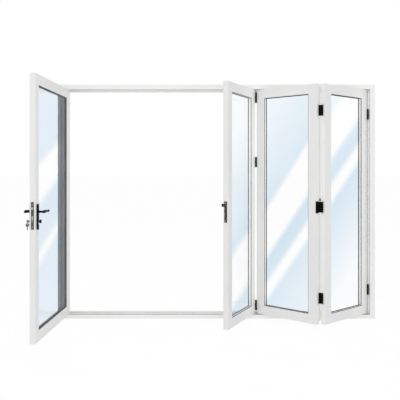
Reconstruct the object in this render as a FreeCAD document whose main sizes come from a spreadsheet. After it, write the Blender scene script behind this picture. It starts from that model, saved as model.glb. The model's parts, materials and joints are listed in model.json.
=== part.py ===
import FreeCAD, Part
import Sketcher
import os
import re

# Folding patio door: an outer frame, one hinged access leaf with a lock, and three leaves that fold.
# Millimetres. +X runs along the sill to the right, +Y points indoors, +Z is up. The origin is the middle
# of the sill's underside, and the closed leaves stand in the middle of the frame's depth.

Vector = FreeCAD.Vector
Rotation = FreeCAD.Rotation
doc = FreeCAD.newDocument("FoldingPatioDoor")

# Counts that hold at any size

FOLDING_LEAVES = 3
JAMB_FIXINGS = 4
KNUCKLES = 3
KEY_CUTS = 4

# Driving sizes

SIZES = {
    # Outer frame
    "frame_width": 2850,
    "frame_height": 2100,
    "frame_depth": 100,
    "jamb_face": 54,
    "head_face": 41,
    "sill_face": 34,
    "hinge_rebate": 11,
    "stop_depth": 24,
    "stop_head": 18,
    "stop_jamb": 14,
    "stop_sill": 11,
    "frame_wall": 3,
    "frame_edge": 1.5,
    "fixing_radius": 4.5,
    "fixing_end": 250,
    # Tracks in the head and the sill
    "track_width": 32,
    "track_height": 36,
    "track_wall": 2.5,
    "track_lip": 3,
    "track_slot": 12,
    "guide_width": 24,
    "guide_depth": 22,
    "guide_wall": 2,
    # Weather seals on the frame's stop
    "seal_width": 8,
    "seal_thickness": 3.5,
    "seal_inset": 2,
    # Leaves
    "leaf_thickness": 44,
    "leaf_face": 80,
    "leaf_wall": 3,
    "leaf_edge": 1.2,
    "leaf_gap": 6,
    "gap_top": 4,
    "gap_bottom": 8,
    "fold_pitch": 608,
    # Glazing
    "rebate_height": 18,
    "lip_thickness": 4,
    "gasket_thickness": 2.5,
    "gasket_reveal": 4,
    "gasket_seat": 14,
    "pane_thickness": 4,
    "cavity": 20,
    "glass_clearance": 5,
    "spacer_width": 10,
    "spacer_inset": 2,
    "bead_slope": 6,
    # Hinges
    "pin_offset": 8,
    "pin_radius": 3.5,
    "pin_clearance": 0.05,
    "pin_cap_radius": 5.5,
    "pin_cap": 2,
    "pin_stub": 28,
    "knuckle_radius": 7.5,
    "knuckle_gap": 0.8,
    "knuckle_clearance": 0.8,
    "hinge_height": 90,
    "hinge_plate": 2,
    "hinge_depth": 24,
    "fold_depth": 14,
    "hinge_low": 215,
    "hinge_drop": 220,
    "carriage_hinge_drop": 70,
    "guide_hinge_low": 75,
    "centre_hinge": 1364,
    # Cover strip along the fold line
    "strip_radius": 5.5,
    "strip_depth": 8,
    "strip_gap": 4,
    "strip_end": 25,
    # Lock
    "handle_height": 980,
    "backset": 40,
    "cylinder_drop": 72,
    "case_depth": 56,
    "case_thickness": 16,
    "case_above": 50,
    "case_below": 45,
    "bolt_clearance": 0.4,
    "bolt_thickness": 12,
    "latch_rise": 26,
    "latch_height": 18,
    "latch_throw": 11,
    "latch_nose": 2,
    "latch_tail": 34,
    "dead_rise": 26,
    "dead_height": 30,
    "dead_throw": 14,
    "dead_tail": 38,
    "edge_plate": 2,
    "faceplate_width": 22,
    "faceplate_length": 204,
    "faceplate_drop": 28,
    "keep_width": 24,
    "keep_length": 172,
    "keep_clearance": 1.5,
    "keep_lip": 24,
    "keep_lip_height": 26,
    # Handles, cylinder and keys
    "backplate_width": 32,
    "backplate_length": 191,
    "backplate_thickness": 10,
    "backplate_drop": 38,
    "backplate_round": 2.5,
    "handle_clearance": 0.5,
    "spindle_square": 8,
    "hub_radius": 7,
    "neck_radius": 8,
    "neck_length": 38,
    "rose_radius": 11,
    "rose_length": 4,
    "grip_length": 120,
    "grip_heel": 11,
    "grip_height": 10.5,
    "grip_thickness": 7,
    "heel_share": 0.8,
    "waist_share": 0.95,
    "tip_share": 1,
    "cylinder_radius": 8.5,
    "cylinder_web": 10,
    "cylinder_foot": 16,
    "cylinder_proud": 3,
    "plug_radius": 6.5,
    "turn_neck": 4,
    "turn_width": 7,
    "turn_length": 16,
    "turn_height": 26,
    "turn_round": 2,
    "key_thickness": 2.2,
    "key_blade": 7.2,
    "key_clearance": 0.25,
    "key_neck": 3,
    "key_bow": 11,
    "spare_bow": 13.5,
    "key_hole": 3,
    "key_hole_rim": 4.5,
    "key_tail": 26,
    "key_step": 4,
    "key_cut": 1.6,
    "ring_radius": 11,
    "ring_wire": 1.1,
    # Finger pull on the fold
    "pull_width": 7,
    "pull_length": 100,
    "pull_thickness": 7,
    "pull_lap": 5,
    "pull_play": 0.7,
    "pull_round": 2,
    "pull_scoop": 3,
    # Carriage and guide
    "truck_width": 11,
    "truck_length": 76,
    "truck_height": 20,
    "truck_round": 3,
    "wheel_radius": 13,
    "wheel_width": 6,
    "wheel_gap": 6.5,
    "wheel_base": 44,
    "wheel_bevel": 1.5,
    "wheel_play": 0.4,
    "axle_radius": 3,
    "collar_radius": 6,
    "collar_length": 18,
    "shoe_length": 60,
    "shoe_height": 18,
    "shoe_play": 0.6,
    "flange_length": 90,
    "flange_width": 20,
    "flange_thickness": 5,
    "flange_lift": 1,
    # How far each leaf stands open
    "access_open": 93,
    "fold_open": 40,
    "second_open": 63.5,
}

# Lengths that follow from the driving sizes, each a formula of size names.

RESULTS = {
    "half_width": "frame_width / 2",
    "front": "frame_depth / 2",
    "stop_front": "frame_depth / 2 - stop_depth",
    "head_low": "frame_height - head_face",
    "reveal": "half_width - jamb_face",
    "pivot_x": "reveal - leaf_gap / 2",
    "pin_line": "leaf_thickness / 2 + pin_offset",
    "pin_span": "leaf_thickness + 2 * pin_offset",
    "access_pitch": "2 * pivot_x - %d * fold_pitch" % FOLDING_LEAVES,
    "carriage_x": "pivot_x - 2 * (fold_pitch * cos(fold_open) + pin_span * sin(fold_open))",
    "leaf_bottom": "sill_face + gap_bottom",
    "leaf_height": "head_low - gap_top - leaf_bottom",
    "leaf_middle": "pin_offset + leaf_thickness / 2",
    "inner_face": "pin_offset + leaf_thickness",
    "rebate_floor": "leaf_face - rebate_height",
    "pane_edge": "rebate_floor + glass_clearance",
    "gasket_edge": "leaf_face - gasket_seat",
    "outer_pane": "lip_thickness + gasket_thickness",
    "inner_pane": "outer_pane + pane_thickness + cavity",
    "bead_face": "inner_pane + pane_thickness + gasket_thickness",
    "arm_reach": "knuckle_radius + knuckle_clearance",
    "hinge_high": "leaf_height - hinge_drop",
    "carriage_hinge": "leaf_height - carriage_hinge_drop",
    "lock_edge": "access_pitch - leaf_gap / 2",
    "spindle_x": "lock_edge - backset",
    "cylinder_height": "handle_height - cylinder_drop",
    "latch_level": "handle_height + latch_rise",
    "dead_level": "cylinder_height + dead_rise",
    "plate_middle": "handle_height - faceplate_drop",
    "cylinder_out": "pin_offset - backplate_thickness - cylinder_proud",
    "cylinder_in": "inner_face + backplate_thickness + cylinder_proud",
    "bow_middle": "cylinder_out - key_neck - key_bow",
    "key_eye": "bow_middle - key_bow + key_hole_rim + key_hole",
    "key_insert": "key_tail - key_neck",
    "axle_height": "head_low + track_lip + wheel_radius + wheel_play",
    "guide_floor": "sill_face - guide_depth",
}

sheet = doc.addObject("Spreadsheet::Sheet", "Sizes")
for row, (size_name, size_value) in enumerate(SIZES.items(), start=1):
    sheet.set("A%d" % row, size_name)
    sheet.set("B%d" % row, str(size_value))
    sheet.setAlias("B%d" % row, size_name)
doc.recompute()

# Formulas and placing

WORD = re.compile(r"[a-z][a-z_]*")


def expand(formula):
    """Write a formula of size names as one of spreadsheet cells."""
    def swap(match):
        word = match.group(0)
        if word in RESULTS:
            return "(" + expand(RESULTS[word]) + ")"
        if word in SIZES:
            return "Sizes." + word
        return word
    return WORD.sub(swap, str(formula))


def amount(formula):
    """The present value of a formula."""
    return float(sheet.evalExpression(expand(formula)))


def bind(obj, path, formula):
    obj.setExpression(path, expand(formula))


def move(obj, corner):
    """Tie an object's place to three formulas."""
    for axis, formula in zip("xyz", corner):
        bind(obj, "Placement.Base." + axis, formula)


# Each leaf is drawn closed, about the axis of one of its pins, and then turned open about that pin.

SEATS = {
    "access_leaf": ("-(pivot_x)", "-access_open"),
    "leaf_2": ("carriage_x", "second_open"),
    "leaf_3": ("carriage_x", "-fold_open"),
    "leaf_4": ("pivot_x", "fold_open"),
}
NODES = []


def node(label, obj, leaf=None):
    """Register a finished piece and stand it in its leaf."""
    obj.Label = label
    if leaf:
        pin_x, angle = SEATS[leaf]
        obj.Placement.Rotation = Rotation(Vector(0, 0, 1), amount(angle))
        bind(obj, "Placement.Rotation.Angle", angle)
        move(obj, (pin_x, "-(pin_line)", "leaf_bottom"))
    NODES.append(obj)
    return obj


# Plain solids and how they combine

TURNS = {
    "x": Rotation(Vector(0, 1, 0), 90),
    "y": Rotation(Vector(1, 0, 0), -90),
    "z": Rotation(),
}


def box(name, corner, size):
    solid = doc.addObject("Part::Box", name)
    move(solid, corner)
    for side, formula in zip(("Length", "Width", "Height"), size):
        bind(solid, side, formula)
    return solid


def rod(name, start, axis, radius, length):
    solid = doc.addObject("Part::Cylinder", name)
    solid.Placement.Rotation = TURNS[axis]
    move(solid, start)
    bind(solid, "Radius", radius)
    bind(solid, "Height", length)
    return solid


def join(name, *pieces):
    solid = doc.addObject("Part::MultiFuse", name)
    solid.Shapes = list(pieces)
    return solid


def group(name, *pieces):
    """Separate solids kept together in one piece."""
    solids = doc.addObject("Part::Compound", name)
    solids.Links = list(pieces)
    return solids


def cut(name, base, *tools):
    solid = doc.addObject("Part::Cut", name)
    solid.Base = base
    solid.Tool = tools[0] if len(tools) == 1 else group(name + "_tools", *tools)
    doc.recompute()
    if solid.Shape.Volume >= base.Shape.Volume:
        raise ValueError(name + ": the cut takes nothing away")
    return solid


# Sketched solids

def outline(body, role, name, loops, offset="0"):
    """A sketch of closed polygons on one of the body's own planes, each corner tied to two formulas."""
    sketch = body.newObject("Sketcher::SketchObject", name)
    plane = [feature for feature in body.Origin.OriginFeatures if feature.Role == role][0]
    sketch.AttachmentSupport = [(plane, "")]
    sketch.MapMode = "FlatFace"
    bind(sketch, "AttachmentOffset.Base.z", offset)
    for loop in loops:
        first = sketch.GeometryCount
        corners = [Vector(amount(across), amount(along), 0) for across, along in loop]
        for here, there in zip(corners, corners[1:] + corners[:1]):
            sketch.addGeometry(Part.LineSegment(here, there), False)
        for index, (across, along) in enumerate(loop):
            edge = first + index
            following = first + (index + 1) % len(loop)
            sketch.addConstraint(Sketcher.Constraint("Coincident", edge, 2, following, 1))
            for kind, formula in (("DistanceX", across), ("DistanceY", along)):
                limit = Sketcher.Constraint(kind, -1, 1, edge, 1, amount(formula))
                bind(sketch, "Constraints[%d]" % sketch.addConstraint(limit), formula)
    return sketch


def extrude(name, role, loops, length, offset="0"):
    """A body whose first feature is a straight pad of the loops."""
    body = doc.addObject("PartDesign::Body", name)
    pad = body.newObject("PartDesign::Pad", name + "_pad")
    pad.Profile = outline(body, role, name + "_section", loops, offset)
    bind(pad, "Length", length)
    body.Tip = pad
    doc.recompute()
    return body


def pocket(body, role, loops):
    """Cut the loops right through the body, both ways from the sketch."""
    before = body.Shape.Volume
    feature = body.newObject("PartDesign::Pocket", body.Name + "_pocket")
    feature.Profile = outline(body, role, body.Name + "_cut", loops)
    feature.Type = "ThroughAll"
    feature.SideType = "Symmetric"
    body.Tip = feature
    doc.recompute()
    if body.Shape.Volume >= before:
        raise ValueError(body.Name + ": the pocket takes nothing away")
    return body


def rectangle(low, high):
    return [low, (high[0], low[1]), high, (low[0], high[1])]


def soft_box(name, corner, size, radius):
    """A block with all its edges rounded."""
    far = ["%s + %s" % pair for pair in zip(corner, size)]
    body = extrude(name, "XY_Plane", [rectangle(corner[:2], (far[0], far[1]))], size[2], corner[2])
    block = body.Tip
    fillet = body.newObject("PartDesign::Fillet", name + "_fillet")
    fillet.Base = (block, ["Face1"])
    fillet.UseAllEdges = True
    bind(fillet, "Radius", radius)
    body.Tip = fillet
    return body


# Outer frame

def frame_bar(name, section, chamber, notch_low, notch_high):
    """Head or sill: a hollow section across the whole width, with its stop cut back at the jambs."""
    body = extrude(name, "YZ_Plane", [section, chamber], "frame_width", "-(half_width)")
    inner = "reveal - stop_jamb"
    notches = [
        rectangle(("-(half_width)", notch_low), ("-(%s)" % inner, notch_high)),
        rectangle((inner, notch_low), ("half_width", notch_high)),
    ]
    return node(name, pocket(body, "XZ_Plane", notches))


def make_head():
    near = "-(pin_line) - track_width / 2"
    far = "-(pin_line) + track_width / 2"
    roof = "head_low + track_height"
    stop = "head_low - stop_head"
    section = [
        ("-(front) + frame_edge", "head_low"), (near, "head_low"), (near, roof), (far, roof),
        (far, "head_low"), ("stop_front", "head_low"), ("stop_front", stop), ("front - frame_edge", stop),
        ("front", stop + " + frame_edge"), ("front", "frame_height"), ("-(front)", "frame_height"),
        ("-(front)", "head_low + frame_edge"),
    ]
    low = (far + " + frame_wall", "head_low + frame_wall")
    high = ("front - frame_wall", "frame_height - frame_wall")
    frame_bar("frame_head", section, rectangle(low, high), stop, "head_low")


def make_sill():
    near = "-(pin_line) - guide_width / 2"
    far = "-(pin_line) + guide_width / 2"
    stop = "sill_face + stop_sill"
    section = [
        ("-(front)", "0"), ("front", "0"), ("front", stop + " - frame_edge"), ("front - frame_edge", stop),
        ("stop_front", stop), ("stop_front", "sill_face"), (far, "sill_face"), (far, "guide_floor"),
        (near, "guide_floor"), (near, "sill_face"), ("-(front) + frame_edge", "sill_face"),
        ("-(front)", "sill_face - frame_edge"),
    ]
    low = (far + " + frame_wall", "frame_wall")
    high = ("front - frame_wall", "sill_face - frame_wall")
    frame_bar("frame_sill", section, rectangle(low, high), "sill_face", stop)


def make_jamb(name, sign):
    """A jamb with a rebate for the hinge knuckles, a stop behind the leaf and four fixing holes."""
    outer = sign + "(half_width)"
    rebate = sign + "(reveal + hinge_rebate)"
    reveal = sign + "(reveal)"
    stop = sign + "(reveal - stop_jamb)"
    shoulder = "-(pin_line) + arm_reach"
    front_corner = sign + "(reveal + hinge_rebate + frame_edge)"
    back_corner = sign + "(reveal - stop_jamb + frame_edge)"
    section = [
        (outer, "-(front)"), (front_corner, "-(front)"), (rebate, "-(front) + frame_edge"),
        (rebate, shoulder), (reveal, shoulder), (reveal, "stop_front"), (stop, "stop_front"),
        (stop, "front - frame_edge"), (back_corner, "front"), (outer, "front"),
    ]
    low = (sign + "(reveal + hinge_rebate + frame_wall)", "-(front) + frame_wall")
    high = (sign + "(half_width - frame_wall)", "front - frame_wall")
    length = "head_low - sill_face"
    body = extrude(name + "_bar", "XY_Plane", [section, rectangle(low, high)], length, "sill_face")
    step = "(frame_height - 2 * fixing_end) / %d" % (JAMB_FIXINGS - 1)
    start = "half_width - jamb_face" if sign == "+" else "-(half_width)"
    holes = []
    for count in range(JAMB_FIXINGS):
        level = "fixing_end + %d * %s" % (count, step)
        holes.append(rod("%s_hole" % name, (start, "0", level), "x", "fixing_radius", "jamb_face"))
    node(name, cut(name, body, *holes))


def make_tracks():
    middle = "-(pin_line)"
    half = "track_width / 2"
    inside = "track_width / 2 - track_wall"
    slot = "track_slot / 2"
    roof = "head_low + track_height"
    ceiling = "head_low + track_height - track_wall"
    floor = "head_low + track_lip"
    right = [(slot, "head_low"), (half, "head_low"), (half, roof)]
    inner = [(inside, ceiling), (inside, floor), (slot, floor)]
    section = [("%s + %s" % (middle, across), up) for across, up in right]
    section += [("%s - (%s)" % (middle, across), up) for across, up in reversed(right)]
    section += [("%s - (%s)" % (middle, across), up) for across, up in reversed(inner)]
    section += [("%s + %s" % (middle, across), up) for across, up in inner]
    node("head_track", extrude("head_track", "YZ_Plane", [section], "2 * (reveal)", "-(reveal)"))
    half = "guide_width / 2"
    inside = "guide_width / 2 - guide_wall"
    floor = "guide_floor + guide_wall"
    right = [(half, "guide_floor"), (half, "sill_face"), (inside, "sill_face"), (inside, floor)]
    section = [("%s + %s" % (middle, across), up) for across, up in right]
    section += [("%s - (%s)" % (middle, across), up) for across, up in reversed(right)]
    node("sill_track", extrude("sill_track", "YZ_Plane", [section], "2 * (reveal)", "-(reveal)"))


def make_seals():
    """Strips of weather seal on the face of the stop, all the way round."""
    face = "stop_front - seal_thickness"
    side = "reveal - stop_jamb"
    upright = "head_low - stop_head - sill_face - stop_sill"
    base = "sill_face + stop_sill"
    wide = ("2 * (%s)" % side, "seal_thickness", "seal_width")
    tall = ("seal_width", "seal_thickness", upright)
    top = box("seal_top", ("-(%s)" % side, face, "head_low - stop_head + seal_inset"), wide)
    foot = box("seal_foot", ("-(%s)" % side, face, base + " - seal_inset - seal_width"), wide)
    right = box("seal_right", (side + " + seal_inset", face, base), tall)
    left = box("seal_left", ("-(%s) - seal_inset - seal_width" % side, face, base), tall)
    node("stop_seals", group("stop_seals", top, foot, left, right))


# Leaves: mitred hollow bars, a double-glazed unit, beads and gaskets

SPANS = {
    "access_leaf": ("leaf_gap / 2", "access_pitch - leaf_gap / 2"),
    "leaf_2": ("-(fold_pitch - leaf_gap / 2)", "-(leaf_gap / 2)"),
    "leaf_3": ("leaf_gap / 2", "fold_pitch - leaf_gap / 2"),
    "leaf_4": ("-(fold_pitch - leaf_gap / 2)", "-(leaf_gap / 2)"),
}
SIDES = ("left", "right", "bottom", "top")
BAR = [
    ("leaf_edge", "0"), ("leaf_face - leaf_edge", "0"), ("leaf_face", "leaf_edge"),
    ("leaf_face", "lip_thickness"), ("rebate_floor", "lip_thickness"), ("rebate_floor", "leaf_thickness"),
    ("leaf_edge", "leaf_thickness"), ("0", "leaf_thickness - leaf_edge"), ("0", "leaf_edge"),
]
BAR_CHAMBER = rectangle(("leaf_wall", "leaf_wall"), ("rebate_floor - leaf_wall", "leaf_thickness - leaf_wall"))
BEAD = [
    ("rebate_floor", "bead_face"), ("leaf_face", "bead_face"), ("leaf_face", "leaf_thickness - bead_slope"),
    ("leaf_face - bead_slope", "leaf_thickness"), ("rebate_floor", "leaf_thickness"),
]


def mitred(name, leaf, side, loops, near):
    """One bar round a leaf. Sections are (distance in from the leaf's edge, depth from its outer face)."""
    left, right = SPANS[leaf]
    upright = side in ("left", "right")
    place = {
        "left": lambda inward: "%s + %s" % (left, inward),
        "right": lambda inward: "%s - (%s)" % (right, inward),
        "bottom": lambda inward: inward,
        "top": lambda inward: "leaf_height - (%s)" % inward,
    }
    across = place[side]
    if upright:
        section = [[(across(inward), "pin_offset + " + depth) for inward, depth in loop] for loop in loops]
        body = extrude(name, "XY_Plane", section, "leaf_height")
        ends = ("bottom", "top")
    else:
        section = [[("pin_offset + " + depth, across(inward)) for inward, depth in loop] for loop in loops]
        body = extrude(name, "YZ_Plane", section, "%s - (%s)" % (right, left), left)
        ends = ("left", "right")
    wedge = [("leaf_face", "0"), ("leaf_face", "leaf_face"), (near, near)]
    if near != "0":
        wedge.append((near, "0"))
    wedges = []
    for end in ends:
        corners = [(across(inward), place[end](along)) for inward, along in wedge]
        wedges.append(corners if upright else [(along, inward) for inward, along in corners])
    return pocket(body, "XZ_Plane", wedges)


def sheet_box(name, leaf, edge, depth, thickness):
    """A block in the plane of the leaf, a set distance in from its edges."""
    left, right = SPANS[leaf]
    corner = ("%s + %s" % (left, edge), "pin_offset + " + depth, edge)
    size = ("%s - (%s) - 2 * (%s)" % (right, left, edge), thickness, "leaf_height - 2 * (%s)" % edge)
    return box(name, corner, size)


def window_ring(name, leaf, outside, inside, depth, thickness):
    outer = sheet_box(name + "_outer", leaf, outside, depth, thickness)
    inner = sheet_box(name + "_inner", leaf, inside, depth, thickness)
    return cut(name, outer, inner)


def glaze(prefix, leaf):
    """The glass unit with its spacer, the beads that hold it and a gasket on either side."""
    panes = [
        sheet_box("%s_pane_%d" % (prefix, count), leaf, "pane_edge", depth, "pane_thickness")
        for count, depth in enumerate(("outer_pane", "inner_pane"), start=1)
    ]
    node(prefix + "_panes", group(prefix + "_panes", *panes), leaf)
    edge = "pane_edge + spacer_inset"
    depth = "outer_pane + pane_thickness"
    spacer = window_ring(prefix + "_spacer", leaf, edge, edge + " + spacer_width", depth, "cavity")
    node(prefix + "_spacer", spacer, leaf)
    beads = [mitred("%s_%s_bead" % (prefix, side), leaf, side, [BEAD], "rebate_floor") for side in SIDES]
    node(prefix + "_beads", group(prefix + "_beads", *beads), leaf)
    edge = "leaf_face + gasket_reveal"
    gaskets = [
        window_ring("%s_gasket_%d" % (prefix, count), leaf, "gasket_edge", edge, depth, "gasket_thickness")
        for count, depth in enumerate(("lip_thickness", "inner_pane + pane_thickness"), start=1)
    ]
    node(prefix + "_gaskets", group(prefix + "_gaskets", *gaskets), leaf)


def leaf_bars(prefix, leaf):
    bars = {}
    for side in SIDES:
        bars[side] = mitred("%s_%s_bar" % (prefix, side), leaf, side, [BAR, BAR_CHAMBER], "0")
    return bars


# Hinges: a plate in the gap between two edges, arms past the corner, and knuckles round the pin.
# The knuckles are counted from the bottom: one half owns the outer two, the other the middle one.

OUTER_KNUCKLES = (0, KNUCKLES - 1)
MIDDLE_KNUCKLE = (KNUCKLES // 2,)


def hinge_half(name, pin, inward, side, middle, knuckles, depth="hinge_depth"):
    """inward is the sign along Y from the pin to the leaf, side the sign along X from the pin to it."""
    pin_x, pin_y = pin
    share = "hinge_height / %d" % KNUCKLES
    foot = "%s - hinge_height / 2" % middle
    plate_x = pin_x + (" + leaf_gap / 2 - hinge_plate" if side == "+" else " - leaf_gap / 2")
    if inward == "+":
        plate_y = pin_y + " + arm_reach"
        arm_y = pin_y
    else:
        plate_y = pin_y + " - arm_reach - " + depth
        arm_y = pin_y + " - arm_reach"
    pieces = [box(name + "_plate", (plate_x, plate_y, foot), ("hinge_plate", depth, "hinge_height"))]
    for count in knuckles:
        level = "%s + %d * %s + knuckle_gap / 2" % (foot, count, share)
        length = share + " - knuckle_gap"
        arm = (plate_x, arm_y, level)
        pieces.append(box(name + "_arm", arm, ("hinge_plate", "arm_reach", length)))
        pieces.append(rod(name + "_knuckle", (pin_x, pin_y, level), "z", "knuckle_radius", length))
    bore = rod(name + "_bore", (pin_x, pin_y, foot), "z", "pin_radius + pin_clearance", "hinge_height")
    return cut(name, join(name + "_blank", *pieces), bore)


def hinge_pin(name, pin, middle):
    """A pin whose two caps bear on the ends of the outer knuckles."""
    foot = "%s - hinge_height / 2 + knuckle_gap / 2" % middle
    length = "hinge_height - knuckle_gap"
    shank = rod(name + "_shank", (pin[0], pin[1], foot), "z", "pin_radius", length)
    low = rod(name + "_low", (pin[0], pin[1], foot + " - pin_cap"), "z", "pin_cap_radius", "pin_cap")
    high = rod(name + "_high", (pin[0], pin[1], "%s + %s" % (foot, length)), "z", "pin_cap_radius", "pin_cap")
    return join(name, low, shank, high)


OUTSIDE_PIN = ("0", "0")
FOLD_LINE = ("fold_pitch", "pin_span")
JAMB_LEVELS = {"-": ("hinge_low", "handle_height", "hinge_high"), "+": ("hinge_low", "hinge_high")}
FOLD_LEVELS = ("hinge_low", "handle_height", "hinge_high")
JOINT_LEVELS = ("guide_hinge_low", "centre_hinge", "carriage_hinge")


def make_jamb_hinges():
    """The frame's halves of the jamb hinges, with their pins, at both jambs."""
    halves = []
    pins = []
    for sign, levels in JAMB_LEVELS.items():
        pin = (sign + "(pivot_x)", "-(pin_line)")
        for level in levels:
            world = "leaf_bottom + " + level
            halves.append(hinge_half("jamb_hinge", pin, "+", sign, world, OUTER_KNUCKLES))
            pins.append(hinge_pin("jamb_pin", pin, world))
    node("jamb_hinge_leaves", group("jamb_hinge_leaves", *halves))
    node("jamb_hinge_pins", group("jamb_hinge_pins", *pins))


def make_leaf_hinges():
    """The leaves' own hinge halves, and the pins that the leaves carry."""
    access = [
        hinge_half("access_hinge", OUTSIDE_PIN, "+", "+", level, MIDDLE_KNUCKLE)
        for level in JAMB_LEVELS["-"]
    ]
    node("access_hinge_leaves", group("access_hinge_leaves", *access), "access_leaf")
    second = [
        hinge_half("leaf_2_hinge", OUTSIDE_PIN, "+", "-", level, MIDDLE_KNUCKLE)
        for level in JOINT_LEVELS
    ]
    node("leaf_2_hinge_leaves", group("leaf_2_hinge_leaves", *second), "leaf_2")
    third = [
        hinge_half("leaf_3_hinge", OUTSIDE_PIN, "+", "+", level, OUTER_KNUCKLES)
        for level in JOINT_LEVELS
    ]
    third += [
        hinge_half("leaf_3_fold_hinge", FOLD_LINE, "-", "-", level, MIDDLE_KNUCKLE, "fold_depth")
        for level in FOLD_LEVELS
    ]
    third.append(hinge_pin("leaf_3_pin", OUTSIDE_PIN, "centre_hinge"))
    node("leaf_3_hinge_leaves", group("leaf_3_hinge_leaves", *third), "leaf_3")
    fold_pin = ("-fold_pitch", "pin_span")
    fourth = [
        hinge_half("leaf_4_hinge", OUTSIDE_PIN, "+", "-", level, MIDDLE_KNUCKLE)
        for level in JAMB_LEVELS["+"]
    ]
    fourth += [
        hinge_half("leaf_4_fold_hinge", fold_pin, "-", "+", level, OUTER_KNUCKLES)
        for level in FOLD_LEVELS
    ]
    node("leaf_4_hinge_leaves", group("leaf_4_hinge_leaves", *fourth), "leaf_4")
    crown = "handle_height + hinge_height / 2 - knuckle_gap / 2 + pin_cap"
    stub = rod("pin_stub_rod", fold_pin + (crown,), "z", "pin_radius", "pin_stub")
    pins = [hinge_pin("fold_pin", fold_pin, level) for level in FOLD_LEVELS if level != "handle_height"]
    pins.append(join("handle_pin", hinge_pin("fold_pin", fold_pin, "handle_height"), stub))
    node("fold_hinge_pins", group("fold_hinge_pins", *pins), "leaf_4")


def fold_strips():
    """Strips along the fold line between the hinges, so that no daylight shows when the fold stands open.

    Each is a fin on the edge of leaf 3 with a bead round the pin line, where turning never changes it.
    """
    edge = SPANS["leaf_3"][1]
    reach = "hinge_height / 2 + pin_cap + strip_gap"
    spans = [
        ("strip_end", "hinge_low - (%s)" % reach),
        ("hinge_low + " + reach, "handle_height - (%s)" % reach),
        ("handle_height + pin_stub + " + reach, "hinge_high - (%s)" % reach),
        ("hinge_high + " + reach, "leaf_height - strip_end"),
    ]
    strips = []
    for foot, top in spans:
        height = "%s - (%s)" % (top, foot)
        corner = (edge, "inner_face - strip_depth", foot)
        fin = box("strip_fin", corner, ("hinge_plate", "strip_depth + pin_offset", height))
        bead = rod("strip_bead", FOLD_LINE + (foot,), "z", "strip_radius", height)
        strips.append(join("fold_strip", fin, bead))
    return strips


# Lock of the access leaf

def upright_box(name, x_range, y_half, level, z_half):
    """A block between two X values, centred on the leaf's thickness and on a level."""
    corner = (x_range[0], "leaf_middle - (%s)" % y_half, "%s - (%s)" % (level, z_half))
    length = "%s - (%s)" % (x_range[1], x_range[0])
    return box(name, corner, (length, "2 * (%s)" % y_half, "2 * (%s)" % z_half))


def bolt_openings(name, x_range, slack):
    """Openings for the latch and the dead bolt."""
    half = "bolt_thickness / 2 + " + slack
    latch = upright_box(name + "_latch", x_range, half, "latch_level", "latch_height / 2 + " + slack)
    dead = upright_box(name + "_dead", x_range, half, "dead_level", "dead_height / 2 + " + slack)
    return [latch, dead]


def cylinder_form(name, start, length, slack):
    """The lock cylinder's outline: a round barrel on a flat foot."""
    radius = "cylinder_radius + " + slack
    width = "cylinder_web + 2 * (%s)" % slack
    barrel = rod(name + "_barrel", ("spindle_x", start, "cylinder_height"), "y", radius, length)
    drop = "cylinder_radius + cylinder_foot + " + slack
    corner = ("spindle_x - (%s) / 2" % width, start, "cylinder_height - (%s)" % drop)
    return join(name, barrel, box(name + "_foot", corner, (width, length, drop)))


def make_lock_stile(bar):
    """The lock stile, opened for the lock case, the spindle and the cylinder."""
    top = "handle_height + case_above"
    foot = "cylinder_height - case_below"
    half = "case_thickness / 2 + bolt_clearance"
    slot = box(
        "stile_slot",
        ("lock_edge - leaf_wall", "leaf_middle - (%s)" % half, foot + " - bolt_clearance"),
        ("leaf_wall", "2 * (%s)" % half, "%s - (%s) + 2 * bolt_clearance" % (top, foot)),
    )
    radius = "neck_radius + handle_clearance"
    spindle = rod("stile_spindle", ("spindle_x", "pin_offset", "handle_height"), "y", radius, "leaf_thickness")
    cylinder = cylinder_form("stile_cylinder", "pin_offset", "leaf_thickness", "handle_clearance")
    node("access_lock_stile", cut("access_lock_stile", bar, slot, spindle, cylinder), "access_leaf")


def make_lock():
    foot = "cylinder_height - case_below"
    height = "handle_height + case_above - (%s)" % foot
    start = "leaf_middle - case_thickness / 2"
    blank = box("case_blank", ("lock_edge - case_depth", start, foot), ("case_depth", "case_thickness", height))
    spindle = rod("case_spindle", ("spindle_x", start, "handle_height"), "y", "hub_radius", "case_thickness")
    cylinder = cylinder_form("case_cylinder", start, "case_thickness", "handle_clearance")
    half = "bolt_thickness / 2 + bolt_clearance"
    latch_way = upright_box(
        "case_latch", ("lock_edge - latch_tail - latch_throw - bolt_clearance", "lock_edge"),
        half, "latch_level", "latch_height / 2 + bolt_clearance",
    )
    dead_way = upright_box(
        "case_dead", ("lock_edge - dead_tail - bolt_clearance", "lock_edge"),
        half, "dead_level", "dead_height / 2 + bolt_clearance",
    )
    case = cut("lock_case", blank, spindle, cylinder, latch_way, dead_way)
    node("lock_case", case, "access_leaf")
    face = ("lock_edge", "lock_edge + edge_plate")
    plate = upright_box("plate_blank", face, "faceplate_width / 2", "plate_middle", "faceplate_length / 2")
    openings = bolt_openings("plate", face, "bolt_clearance")
    node("lock_faceplate", cut("lock_faceplate", plate, *openings), "access_leaf")
    body = cylinder_form("cylinder_blank", "cylinder_out", "cylinder_in - (cylinder_out)", "0")
    bore = rod(
        "cylinder_bore", ("spindle_x", "cylinder_out", "cylinder_height"), "y",
        "plug_radius + pin_clearance", "cylinder_in - (cylinder_out)",
    )
    node("lock_cylinder", cut("lock_cylinder", body, bore), "access_leaf")


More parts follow.
